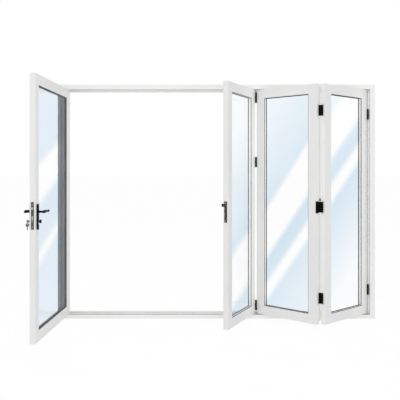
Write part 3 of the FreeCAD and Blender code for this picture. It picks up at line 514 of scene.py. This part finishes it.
def build_painted_reflection_glass():
    tree, given, result = new_group(
        "painted_reflection_glass",
        [
            ("Along", "Vector", (1.0, 0.0, 0.0)),
            ("Start", "Vector", (0.0, 0.0, 0.0)),
            ("Slope", "Float", 1.0),
            ("Wide Level", "Float", 1.0),
            ("Wide Width", "Float", 0.4),
            ("Narrow Level", "Float", 0.6),
            ("Narrow Width", "Float", 0.15),
            ("Fade Level", "Float", 0.8),
            ("Fade Reach", "Float", 1.0),
            ("Clear", "Color", (1.0, 1.0, 1.0, 1.0)),
            ("Blue", "Color", (0.8, 0.9, 0.95, 1.0)),
        ],
        [("Colour", "Color")],
    )
    slanted = slanted_height(tree, given["Start"], given["Along"], given["Slope"])
    wide = band(tree, slanted, given["Wide Level"], given["Wide Width"])
    narrow = band(tree, slanted, given["Narrow Level"], given["Narrow Width"])
    beside = figure(tree, "SUBTRACT", 1.0, figure(tree, "MAXIMUM", wide, narrow))
    distance = apart(tree, slanted, given["Fade Level"])
    fade = ranged(tree, distance, (0.0, given["Fade Reach"]), (1.0, FAINTEST_BLUE))
    # Painted reflection: blue beside the clear bands, fading away from the fade level.
    reflection_share = figure(tree, "MULTIPLY", beside, fade)
    tree.links.new(blend(tree, reflection_share, given["Clear"], given["Blue"]), result["Colour"])
    return tree


PAINTED_REFLECTION_GLASS = build_painted_reflection_glass()
print("group", PAINTED_REFLECTION_GLASS.name)

# %% [markdown]
# ## Which way a leaf runs
#
# Each leaf stands at its own angle, so its glass and its fittings are measured in its own directions. They
# could be typed in as angles. Reading them from the largest upright face of the leaf's rails is safer,
# because they then follow the CAD model when it changes.

# %% Directions of the leaves

LEVEL = 1e-4
LEAVES = {
    "access_leaf": "access",
    "fold_leaf_2": "leaf_2",
    "fold_leaf_3": "leaf_3",
    "fold_leaf_4": "leaf_4",
}


def way_along(node):
    """The level direction that a leaf runs in, towards larger X. It lies in the largest upright face."""
    upright = [face for face in NODES[node].data.polygons if abs(face.normal.z) < LEVEL]
    largest = max(upright, key=lambda face: face.area)
    along = Vector((largest.normal.y, -largest.normal.x, 0.0)).normalized()
    return along if along.x > 0 else -along


WAY_ALONG = {body: way_along(prefix + "_rails") for body, prefix in LEAVES.items()}
for body, along in WAY_ALONG.items():
    print(body, "runs along", [round(value, 3) for value in along])

# %% [markdown]
# ## Bands of each leaf
#
# Each leaf's pane has its bands of painted reflection at its own heights, measured from the pane's lowest
# corner at its smallest X. They could be moved by eye until they look right. Here slope, levels and widths
# were fitted to the photograph, leaf by leaf, which is quicker and leaves less to chance. The access leaf is
# seen at a steep angle and looks paler, so its painted reflection is a lighter blue.

# %% Band values

# Blues of the painted sky reflection on the panes; the access leaf's is the paler one.
SKY_REFLECTION_BLUE = (0.808, 0.885, 0.945, 1.0)
PALE_SKY_REFLECTION_BLUE = (0.855, 0.908, 0.956, 1.0)
REFLECTION_BANDS = {
    "access_leaf": dict(
        Blue=PALE_SKY_REFLECTION_BLUE, Slope=0.406, Wide_Level=1.079, Wide_Width=0.31, Narrow_Level=0.516,
        Narrow_Width=0.099, Fade_Level=0.9, Fade_Reach=3.2,
    ),
    "fold_leaf_2": dict(
        Blue=SKY_REFLECTION_BLUE, Slope=0.416, Wide_Level=0.274, Wide_Width=0.453, Narrow_Level=-0.9,
        Narrow_Width=0.2, Fade_Level=0.305, Fade_Reach=1.173,
    ),
    "fold_leaf_3": dict(
        Blue=SKY_REFLECTION_BLUE, Slope=1.386, Wide_Level=0.623, Wide_Width=0.443, Narrow_Level=0.105,
        Narrow_Width=0.158, Fade_Level=0.438, Fade_Reach=1.597,
    ),
    "fold_leaf_4": dict(
        Blue=SKY_REFLECTION_BLUE, Slope=0.9, Wide_Level=1.485, Wide_Width=0.405, Narrow_Level=0.99,
        Narrow_Width=0.169, Fade_Level=1.012, Fade_Reach=0.975,
    ),
}
for body, values in REFLECTION_BANDS.items():
    print(body, "has its wide band at", values["Wide_Level"], "m")

# %% [markdown]
# ## Glass of each leaf
#
# Glass in a render darkens what is behind it, because it casts a shadow. These panes shouldn't, so a Light
# Path node swaps the glass for a plain transparent shader wherever a ray only carries light to a bar. The
# glass also bends and mirrors light less than real glass does, so that the view through two panes stays
# clear.

# %% Glass finishes

PANE_CLEAR = (0.998, 0.998, 0.998, 1.0)
GLASS_BEND = 1.1
CORNER_DIGITS = 4


def points_of(node):
    return [vertex.co for vertex in NODES[node].data.vertices]


def first_corner(node):
    """The lowest corner of a piece at its smallest X."""
    return min(points_of(node), key=lambda point: (round(point.x, CORNER_DIGITS), point.z))


def make_glass(body, node):
    material, tree, shader = new_material("glass_" + node)
    painted_sky = use(
        tree, PAINTED_REFLECTION_GLASS, Along=WAY_ALONG[body], Start=first_corner(node), Clear=PANE_CLEAR, **REFLECTION_BANDS[body],
    )
    # The base colour carries the painted reflection of the sky, blue sheets and clear bands.
    tree.links.new(painted_sky["Colour"], shader.inputs["Base Color"])
    shader.inputs["Roughness"].default_value = 0.0
    shader.inputs["IOR"].default_value = GLASS_BEND
    shader.inputs["Transmission Weight"].default_value = 1.0
    rays = add(tree, "ShaderNodeLightPath").outputs
    clear = add(tree, "ShaderNodeBsdfTransparent").outputs[0]
    lit = add(tree, "ShaderNodeMixShader", {0: rays["Is Shadow Ray"], 1: shader.outputs[0], 2: clear})
    filled = add(tree, "ShaderNodeMixShader", {0: rays["Is Diffuse Ray"], 1: lit.outputs[0], 2: clear})
    tree.links.new(filled.outputs[0], tree.nodes["Material Output"].inputs["Surface"])
    return material


GLASS = {prefix + "_panes": make_glass(body, prefix + "_panes") for body, prefix in LEAVES.items()}
print("glass for", ", ".join(GLASS))

# %% [markdown]
# ## Dress the CAD pieces
#
# Every piece keeps its CAD shape and takes the finish of its slot. A few look different from the rest of
# their slot and have a finish of their own: the glass of each leaf with its painted reflection, the left
# jamb with its painted shade behind glass, the keep with its darker steel, and the access leaf's spacer,
# painted dark as shade. A table of these few is easier to keep in order than a finish written down for
# every piece.

# %% Assign finishes


def dress(piece, material):
    if not piece.material_slots:
        piece.data.materials.append(material)
    for slot in piece.material_slots:
        slot.material = material


OWN_FINISH = {
    "frame_left_jamb": FINISH["jamb_white_painted_shade"],
    "lock_keep": FINISH["keep_steel"],
    "access_spacer": FINISH["spacer_painted_shade"],
    **GLASS,
}
for node, piece in NODES.items():
    dress(piece, OWN_FINISH[node] if node in OWN_FINISH else FINISH[SLOT_OF[node]])
print("dressed", len(NODES), "pieces")

# %% [markdown]
# ## Screws
#
# Hinge plates, lock plate, keep and backplate are held by small socket screws. A screw head is a shallow
# dome with a six-sided socket. A bump map could only hint at the socket, so it is turned from rings of
# points: the socket's floor, its rim, the dome and the skirt that sinks into the plate.

# %% Screw heads

SCREW_STEPS = 24
# Each ring: its radius and its height as shares of the head's radius, and whether it is six-sided.
SCREW_RINGS = (
    (0.42, -0.10, True),
    (0.45, 0.16, True),
    (0.80, 0.14, False),
    (1.00, 0.02, False),
    (1.00, -0.20, False),
)


def hexagon(angle):
    """How far a hexagon's side lies at an angle, for a corner distance of 1."""
    sixth = math.pi / 3
    return math.cos(sixth / 2) / math.cos((angle % sixth) - sixth / 2)


def add_screw(mesh, centre, normal, radius):
    """Add one closed screw head to a bmesh."""
    turn = normal.to_track_quat("Z", "Y").to_matrix().to_4x4()
    place = Matrix.Translation(centre) @ turn
    rings = []
    for share, height, six_sided in SCREW_RINGS:
        ring = []
        for step in range(SCREW_STEPS):
            angle = 2 * math.pi * step / SCREW_STEPS
            reach = share * radius * (hexagon(angle) if six_sided else 1.0)
            point = Vector((reach * math.cos(angle), reach * math.sin(angle), height * radius))
            ring.append(mesh.verts.new(place @ point))
        rings.append(ring)
    mesh.faces.new(rings[0])
    mesh.faces.new(list(reversed(rings[-1])))
    for inner, outer in zip(rings, rings[1:]):
        for step in range(SCREW_STEPS):
            after = (step + 1) % SCREW_STEPS
            mesh.faces.new((inner[step], outer[step], outer[after], inner[after]))


print("a screw head has", len(SCREW_RINGS), "rings of", SCREW_STEPS, "points")

# %% [markdown]
# ## From mesh to piece
#
# A small piece made here has to turn with its leaf, so it rides on that leaf's body, and it takes the
# finish of a slot. All the screws of one kind on one body make one piece: separate objects for every screw
# would only crowd the list.

# %% Finished pieces


def finish_piece(mesh, name, body, slot):
    """Turn a bmesh into a dressed piece that rides on a body."""
    bmesh.ops.recalc_face_normals(mesh, faces=mesh.faces)
    data = bpy.data.meshes.new(name)
    mesh.to_mesh(data)
    mesh.free()
    piece = bpy.data.objects.new(name, data)
    bpy.context.collection.objects.link(piece)
    dress(piece, FINISH[slot])
    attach(piece, body)


def screw_piece(name, body, slot, screws, radius):
    mesh = bmesh.new()
    for centre, normal in screws:
        add_screw(mesh, centre, normal, radius)
    finish_piece(mesh, name, body, slot)
    print(name, len(screws), "screws on", body)


print("piece helpers ready")

# %% [markdown]
# ## The solids of a node
#
# One node holds all the hinge leaves of a body, and each of them needs its own screws. Two points belong to
# the same solid if edges lead from one to the other, so the mesh is walked from point to point, and every
# walk that ends is one solid. This finds them at any count, without a list of places to keep up.

# %% Separate solids

WELD = 1e-6


def islands(node):
    """The separate solids of a node, each as a list of its points."""
    mesh = bmesh.new()
    mesh.from_mesh(NODES[node].data)
    bmesh.ops.remove_doubles(mesh, verts=mesh.verts, dist=WELD)
    mesh.verts.ensure_lookup_table()
    seen = set()
    found = []
    for start in mesh.verts:
        if start.index in seen:
            continue
        stack = [start]
        seen.add(start.index)
        points = []
        while stack:
            here = stack.pop()
            points.append(here.co.copy())
            for edge in here.link_edges:
                there = edge.other_vert(here)
                if there.index not in seen:
                    seen.add(there.index)
                    stack.append(there)
        found.append(points)
    mesh.free()
    return found


HINGE_NODES = {"frame": "jamb_hinge_leaves"}
HINGE_NODES.update({body: prefix + "_hinge_leaves" for body, prefix in LEAVES.items()})
for body, node in HINGE_NODES.items():
    print(node, "has", len(islands(node)), "solids")

# %% [markdown]
# ## Measure in a direction
#
# A hinge on a turned leaf lies askew to X and Y, so a box along the axes says little about it. The reach of
# its points in the leaf's own directions says more: along the leaf, through it, and up. A dot product is the
# reach of one point in a direction, and the least and the greatest of them are the span of the solid.

# %% Spans

UP = Vector((0.0, 0.0, 1.0))
WAY_ALONG["frame"] = Vector((1.0, 0.0, 0.0))


def way_through(along):
    """The level direction a quarter turn to the left of another."""
    return Vector((-along.y, along.x, 0.0))


def span(points, direction):
    """The least and the greatest reach of points in a direction."""
    reaches = [point.dot(direction) for point in points]
    return min(reaches), max(reaches)


for body, node in HINGE_NODES.items():
    near, far = span(points_of(node), way_through(WAY_ALONG[body]))
    print(node, "spans", round(far - near, 4), "m through", body)

# %% [markdown]
# ## Hinge screws
#
# A hinge leaf is a flat plate with a round knuckle at one end, and two screws hold the plate, one above the
# other. Most points of the solid are on the knuckle, so the plate is at the end with fewer points, and the
# screws go on the side of it that faces the gap. Leaf 3's node also holds a pin, which is too thin for
# screws. Typing the places in would be quicker, but they would be wrong after any change of a leaf's angle.

# %% Screws of the hinges

KNUCKLE_REACH = 0.0158
PLATE_SCREW_RISE = 0.028
HINGE_SCREW = 0.0045
PIN_WIDTH = 0.012


def plate_screws(points, along):
    """Two screws on the flat side of a hinge plate that faces the gap, one above the other."""
    through = way_through(along)
    near, far = span(points, through)
    reach = far - near
    middle = (far + near) / 2
    knuckle_is_near = sum(1 for point in points if point.dot(through) < middle) > len(points) / 2
    end = far if knuckle_is_near else near
    plate = [point for point in points if abs(point.dot(through) - end) < LEVEL]
    knuckle = [point for point in points if abs(point.dot(through) - end) > reach - KNUCKLE_REACH / 2]
    sides = [point.dot(along) for point in plate]
    round_middle = sum(point.dot(along) for point in knuckle) / len(knuckle)
    facing = min(sides, key=lambda side: abs(side - round_middle))
    outward = along if facing > sum(sides) / len(sides) else -along
    inward = (middle - end) / abs(middle - end)
    depth = end + inward * (reach - KNUCKLE_REACH) / 2
    base = along * facing + through * depth
    low, high = span(points, UP)
    level = (high + low) / 2
    rises = (-PLATE_SCREW_RISE, PLATE_SCREW_RISE)
    return [(Vector((base.x, base.y, level + rise)), outward) for rise in rises]


for body, node in HINGE_NODES.items():
    along = WAY_ALONG[body]
    places = []
    for points in islands(node):
        near, far = span(points, way_through(along))
        if far - near > PIN_WIDTH:
            places += plate_screws(points, along)
    screw_piece(body + "_hinge_screws", body, "lock_steel", places, HINGE_SCREW)

# %% [markdown]
# ## Screws near the ends of a plate
#
# An upright plate is held by a screw near each end. Where a plate ends is read from its mesh, so the screws
# follow a longer plate: of the points near one end, those that reach furthest out make up the flat face, and
# the screw goes in the middle of that face.

# %% End screws


def end_screws(node, outward, inset):
    """Two screws on the face of an upright plate, one near each end."""
    points = points_of(node)
    sideways = way_through(outward)
    bottom, top = span(points, UP)
    places = []
    for end, level in ((top, top - inset), (bottom, bottom + inset)):
        near = [point for point in points if abs(point.z - end) < inset]
        face = span(near, outward)[1]
        left, right = span([point for point in near if face - point.dot(outward) < LEVEL], sideways)
        base = outward * face + sideways * (right + left) / 2
        places.append((Vector((base.x, base.y, level)), outward))
    return places


print("end screws ready")

# %% [markdown]
# ## Screws of the lock
#
# The lock plate and the keep have a screw near each end, and the lock plate a third one level with the
# cylinder, which it holds in the case. They are bright nickel, so they show as light dots on the dark
# steel. The inner backplate has two black ones. The outer backplate has none, so that nobody can unscrew it
# from outside. Each of the three is a piece of its own, because they ride on different leaves or differ in
# finish.

# %% Screws of lock plate, keep and backplate

PLATE_SCREW = 0.0045
BACKPLATE_SCREW = 0.0035
LOCK_PLATE_INSET = 0.020
KEEP_INSET = 0.014
BACKPLATE_INSET = 0.016


def middle_level(node):
    low, high = span(points_of(node), UP)
    return (high + low) / 2


lock_edge = -WAY_ALONG["access_leaf"]
plate_places = end_screws("lock_faceplate", lock_edge, LOCK_PLATE_INSET)
cylinder_place = plate_places[0][0].copy()
cylinder_place.z = middle_level("cylinder_plug")
plate_places.append((cylinder_place, lock_edge))
screw_piece("lock_plate_screws", "access_leaf", "cylinder_nickel", plate_places, PLATE_SCREW)
keep_places = end_screws("lock_keep", -WAY_ALONG["fold_leaf_2"], KEEP_INSET)
screw_piece("keep_screws", "fold_leaf_2", "cylinder_nickel", keep_places, PLATE_SCREW)
backplate_places = end_screws("inner_backplate", way_through(lock_edge), BACKPLATE_INSET)
screw_piece("backplate_screws", "access_leaf", "handle_black", backplate_places, BACKPLATE_SCREW)

# %% [markdown]
# ## Turned pieces
#
# A turned piece is cut on a lathe, so it is the same all round its axis. Here it is made the same way: a
# profile of radius and height is swept round an upright axis. A Screw modifier could do that too, but the
# ends of this profile would stay open, and every piece of this door has to be closed.

# %% Turning

CAP_STEPS = 32


def turn_profile(mesh, centre, profile):
    """Sweep a profile of (radius, height) round an upright axis, and close both ends."""
    rings = []
    for radius, height in profile:
        ring = []
        for step in range(CAP_STEPS):
            angle = 2 * math.pi * step / CAP_STEPS
            offset = Vector((radius * math.cos(angle), radius * math.sin(angle), height))
            ring.append(mesh.verts.new(centre + offset))
        rings.append(ring)
    mesh.faces.new(list(reversed(rings[0])))
    mesh.faces.new(rings[-1])
    for lower, upper in zip(rings, rings[1:]):
        for step in range(CAP_STEPS):
            after = (step + 1) % CAP_STEPS
            mesh.faces.new((lower[step], lower[after], upper[after], upper[step]))


print("turning with", CAP_STEPS, "steps")

# %% [markdown]
# ## Cap of the fold pin
#
# The pin of the middle fold hinge stands out above its knuckles and carries a black cap, with a step at the
# foot, a groove for the finger nail and a rounded top. Its profile is a short list of points, which is easy
# to change. The tallest pin's own mesh says where the axis and the top are.

# %% Fold pin cap

# Each point: its radius, and its height above the top of the pin.
CAP_PROFILE = (
    (0.0064, -0.0225),
    (0.0064, -0.0195),
    (0.0060, -0.0185),
    (0.0060, -0.0080),
    (0.0054, -0.0070),
    (0.0054, -0.0060),
    (0.0060, -0.0050),
    (0.0060, -0.0012),
    (0.0055, 0.0002),
    (0.0045, 0.0010),
)
RIM_DEPTH = 1e-5


def pin_height(points):
    low, high = span(points, UP)
    return high - low


def pin_top(points):
    """The middle of the upper end of an upright pin."""
    top = span(points, UP)[1]
    rim = [point for point in points if top - point.z < RIM_DEPTH]
    return sum(rim, Vector()) / len(rim)


cap_place = pin_top(max(islands("fold_hinge_pins"), key=pin_height))
cap_mesh = bmesh.new()
turn_profile(cap_mesh, cap_place, CAP_PROFILE)
finish_piece(cap_mesh, "fold_pin_cap", "fold_leaf_4", "hinge_black")
print("fold pin cap at", [round(value, 3) for value in cap_place])

# %% [markdown]
# ## A strip of seal
#
# Flat strips of pale rubber sit on the ends of leaves 3 and 4, between the hinges of their fold. They keep
# the wind out when the leaves are shut, and in the open fold they show as a bright line. Painting the ends
# paler would do for one view only, so each strip is a profile in the leaf's own directions, with chamfered
# edges, drawn upwards.

# %% Strip of seal

SEAL_THICKNESS = 0.0010
SEAL_CHAMFER = 0.0006
SEAL_SINK = 0.0002


def draw_upwards(mesh, base, outward, across, width, foot, top):
    """Draw a strip's section from one height to another, closed at both ends."""
    shoulder = SEAL_THICKNESS - SEAL_CHAMFER
    section = (
        (-SEAL_SINK, 0.0), (shoulder, 0.0), (SEAL_THICKNESS, SEAL_CHAMFER),
        (SEAL_THICKNESS, width - SEAL_CHAMFER), (shoulder, width), (-SEAL_SINK, width),
    )
    rings = []
    for level in (foot, top):
        places = [base + outward * out + across * side for out, side in section]
        rings.append([mesh.verts.new((place.x, place.y, level)) for place in places])
    mesh.faces.new(rings[0])
    mesh.faces.new(rings[1])
    for corner in range(len(section)):
        after = (corner + 1) % len(section)
        mesh.faces.new((rings[0][corner], rings[0][after], rings[1][after], rings[1][corner]))


print("a seal is", SEAL_THICKNESS, "m thick")

# %% [markdown]
# ## Heights between the hinges
#
# A fitter cuts the strips to stop short of every hinge. The same is done here: the heights that the hinges
# take up are sorted from the bottom up, and the strips fill what is left between them. Cutting one long
# strip with a Boolean would also work, but plain strips are simpler and stay clean.

# %% Free heights

SEAL_CLEARANCE = 0.010


def free_spans(low, high, blocked):
    """The heights between low and high that no hinge takes up."""
    spans = []
    for foot, top in sorted(blocked):
        if low < foot - SEAL_CLEARANCE:
            spans.append((low, foot - SEAL_CLEARANCE))
        low = max(low, top + SEAL_CLEARANCE)
    return spans + [(low, high)]


print("seals stop", SEAL_CLEARANCE, "m short of a hinge")

# %% [markdown]
# ## Seals of the fold
#
# Now the strips are put on. A leaf ends where its mitred rails reach furthest. The stiles can't tell,
# because leaf 3's also carry the cover strips of the fold. For the same reason the seal of leaf 3 is the
# narrower one. The hinges in the way are those that stand out past the leaf's end.

# %% Fold seals

SEAL_EDGE = 0.004
# For each leaf: 1 for its end at the larger X or -1 for the other, and the strip's width.
SEALS = {
    "fold_leaf_3": (1.0, 0.030),
    "fold_leaf_4": (-1.0, 0.036),
}


def seal_end(body, sense, width):
    """Put strips of seal on one end of a leaf."""
    outward = WAY_ALONG[body] * sense
    across = way_through(WAY_ALONG[body])
    points = points_of(LEAVES[body] + "_rails")
    reach = span(points, outward)[1]
    face = [point for point in points if reach - point.dot(outward) < LEVEL]
    base = outward * reach + across * (span(face, across)[0] + SEAL_EDGE)
    hinges = [solid for solid in islands(HINGE_NODES[body]) if span(solid, outward)[1] > reach]
    low, high = span(face, UP)
    blocked = [span(solid, UP) for solid in hinges]
    spans = free_spans(low + SEAL_CLEARANCE, high - SEAL_CLEARANCE, blocked)
    mesh = bmesh.new()
    for foot, top in spans:
        draw_upwards(mesh, base, outward, across, width, foot, top)
    finish_piece(mesh, body + "_seal", body, "seal_grey")
    print(body + "_seal", [[round(value, 3) for value in ends] for ends in spans])


for body, values in SEALS.items():
    seal_end(body, *values)

# %% [markdown]
# ## Floor
#
# The door stands on a plain white floor that has no edge in the picture and hardly a shadow. A white floor
# that is lit by lamps alone turns grey with distance and takes every shadow. This one is dark paint that
# glows evenly, so it stays white to the horizon, and the door's shadow is hardly seen on it.

# %% Studio floor

WHITE = (1.0, 1.0, 1.0, 1.0)
FLOOR_SIZE = 300.0
FLOOR_PAINT = (0.06, 0.06, 0.06, 1.0)
FLOOR_TONED = (0.055, 0.055, 0.055, 1.0)
FLOOR_PEEL = 200.0
FLOOR_ROUGHNESS = (0.7, 0.8)
FLOOR_GLOW = 0.94


def make_floor():
    half = FLOOR_SIZE / 2
    data = bpy.data.meshes.new("studio_floor")
    corners = [(-half, -half, 0.0), (half, -half, 0.0), (half, half, 0.0), (-half, half, 0.0)]
    data.from_pydata(corners, [], [(0, 1, 2, 3)])
    floor = bpy.data.objects.new("studio_floor", data)
    bpy.context.collection.objects.link(floor)
    material, tree, shader = new_material("studio_floor")
    coat = use(
        tree, POWDER_COAT, Colour=FLOOR_PAINT, Toned_Colour=FLOOR_TONED, Peel_Scale=FLOOR_PEEL,
        Roughness_Low=FLOOR_ROUGHNESS[0], Roughness_High=FLOOR_ROUGHNESS[1],
    )
    tree.links.new(coat["Colour"], shader.inputs["Base Color"])
    tree.links.new(coat["Roughness"], shader.inputs["Roughness"])
    shader.inputs["Specular IOR Level"].default_value = 0.0
    shader.inputs["Emission Color"].default_value = WHITE
    shader.inputs["Emission Strength"].default_value = FLOOR_GLOW
    dress(floor, material)


make_floor()
print("floor of", FLOOR_SIZE, "m")

# %% [markdown]
# ## World
#
# The studio is white all round, and this white is also what the glass has behind it. White walls would do,
# but they'd need to stand far off and be lit themselves, so the world is the white. It lights the door a
# little less than it shows behind it, or the bars would fade into it. A Light Path node tells the two apart.

# %% Studio world

AMBIENT = 0.80


def make_world():
    """White all round; what lights the door is a little dimmer than what the camera sees."""
    world = bpy.data.worlds.new("studio")
    bpy.context.scene.world = world
    world.use_nodes = True
    tree = world.node_tree
    sky = tree.nodes["Background"]
    sky.inputs["Color"].default_value = WHITE
    lights_a_bar = add(tree, "ShaderNodeLightPath").outputs["Is Diffuse Ray"]
    strength = ranged(tree, lights_a_bar, (0.0, 1.0), (1.0, AMBIENT))
    tree.links.new(strength, sky.inputs["Strength"])


make_world()
bpy.context.scene.view_settings.view_transform = "Standard"
print("world lights the door at", AMBIENT)

# %% [markdown]
# ## Light panels
#
# A large soft panel in front lifts the faces that look at the camera, and one overhead the tops. Leaves that
# stand close together shade each other, so two narrow strips, in front of the fold and beside the right
# jamb, bring those bars up to the tone of the rest. Stronger large panels would lift them too, but with
# everything else. No panel shows in the picture.

# %% Panels

FULL_SPREAD = 180.0
# For each panel: where it is, what it looks at, its width and height, its power, and its spread in degrees.
PANELS = {
    "front_panel": ((-0.6, -6.8, 2.0), (0.0, 0.0, 1.0), (4.0, 3.0), 72.0, FULL_SPREAD),
    "overhead_panel": ((0.0, -1.0, 5.5), (0.0, -0.6, 0.0), (8.0, 6.0), 60.0, FULL_SPREAD),
    "fold_panel": ((0.78, -0.44, 1.05), (0.30, -0.12, 1.05), (0.06, 1.9), 0.62, 60.0),
    "jamb_panel": ((1.45, -0.50, 1.05), (1.28, -0.12, 1.05), (0.06, 1.9), 0.15, 40.0),
}


def make_panel(name, place, target, size, power, spread):
    data = bpy.data.lights.new(name, "AREA")
    data.shape = "RECTANGLE"
    data.size, data.size_y = size
    data.energy = power
    data.spread = math.radians(spread)
    light = bpy.data.objects.new(name, data)
    bpy.context.collection.objects.link(light)
    light.location = place
    light.rotation_euler = (Vector(target) - Vector(place)).to_track_quat("-Z", "Y").to_euler()
    light.visible_camera = False
    light.visible_glossy = False
    light.visible_transmission = False


for name, values in PANELS.items():
    make_panel(name, *values)
print("panels:", ", ".join(PANELS))

# %% [markdown]
# ## Camera
#
# The camera stands outside, in front of the doorway and a little below eye height, as for the photograph. In
# the photograph every upright is upright, although the horizon lies above the middle. A tilted camera would
# make the uprights lean, so this one looks straight ahead and is shifted, as an architect's camera is.

# %% Photo camera

IMAGE_SIDE = 400.0
SENSOR = 36.0
FOCAL_PIXELS = 565.7
HORIZON = 170.1
EYE = (-0.145, -5.128, 1.333)


def make_camera():
    data = bpy.data.cameras.new("photo_camera")
    data.sensor_width = SENSOR
    data.lens = FOCAL_PIXELS / IMAGE_SIDE * SENSOR
    middle = IMAGE_SIDE / 2
    data.shift_y = (HORIZON - middle) / IMAGE_SIDE
    camera = bpy.data.objects.new("photo_camera", data)
    bpy.context.collection.objects.link(camera)
    camera.location = EYE
    camera.rotation_euler = (math.pi / 2, 0.0, 0.0)
    bpy.context.scene.camera = camera
    print("lens", round(data.lens, 2), "mm")


make_camera()
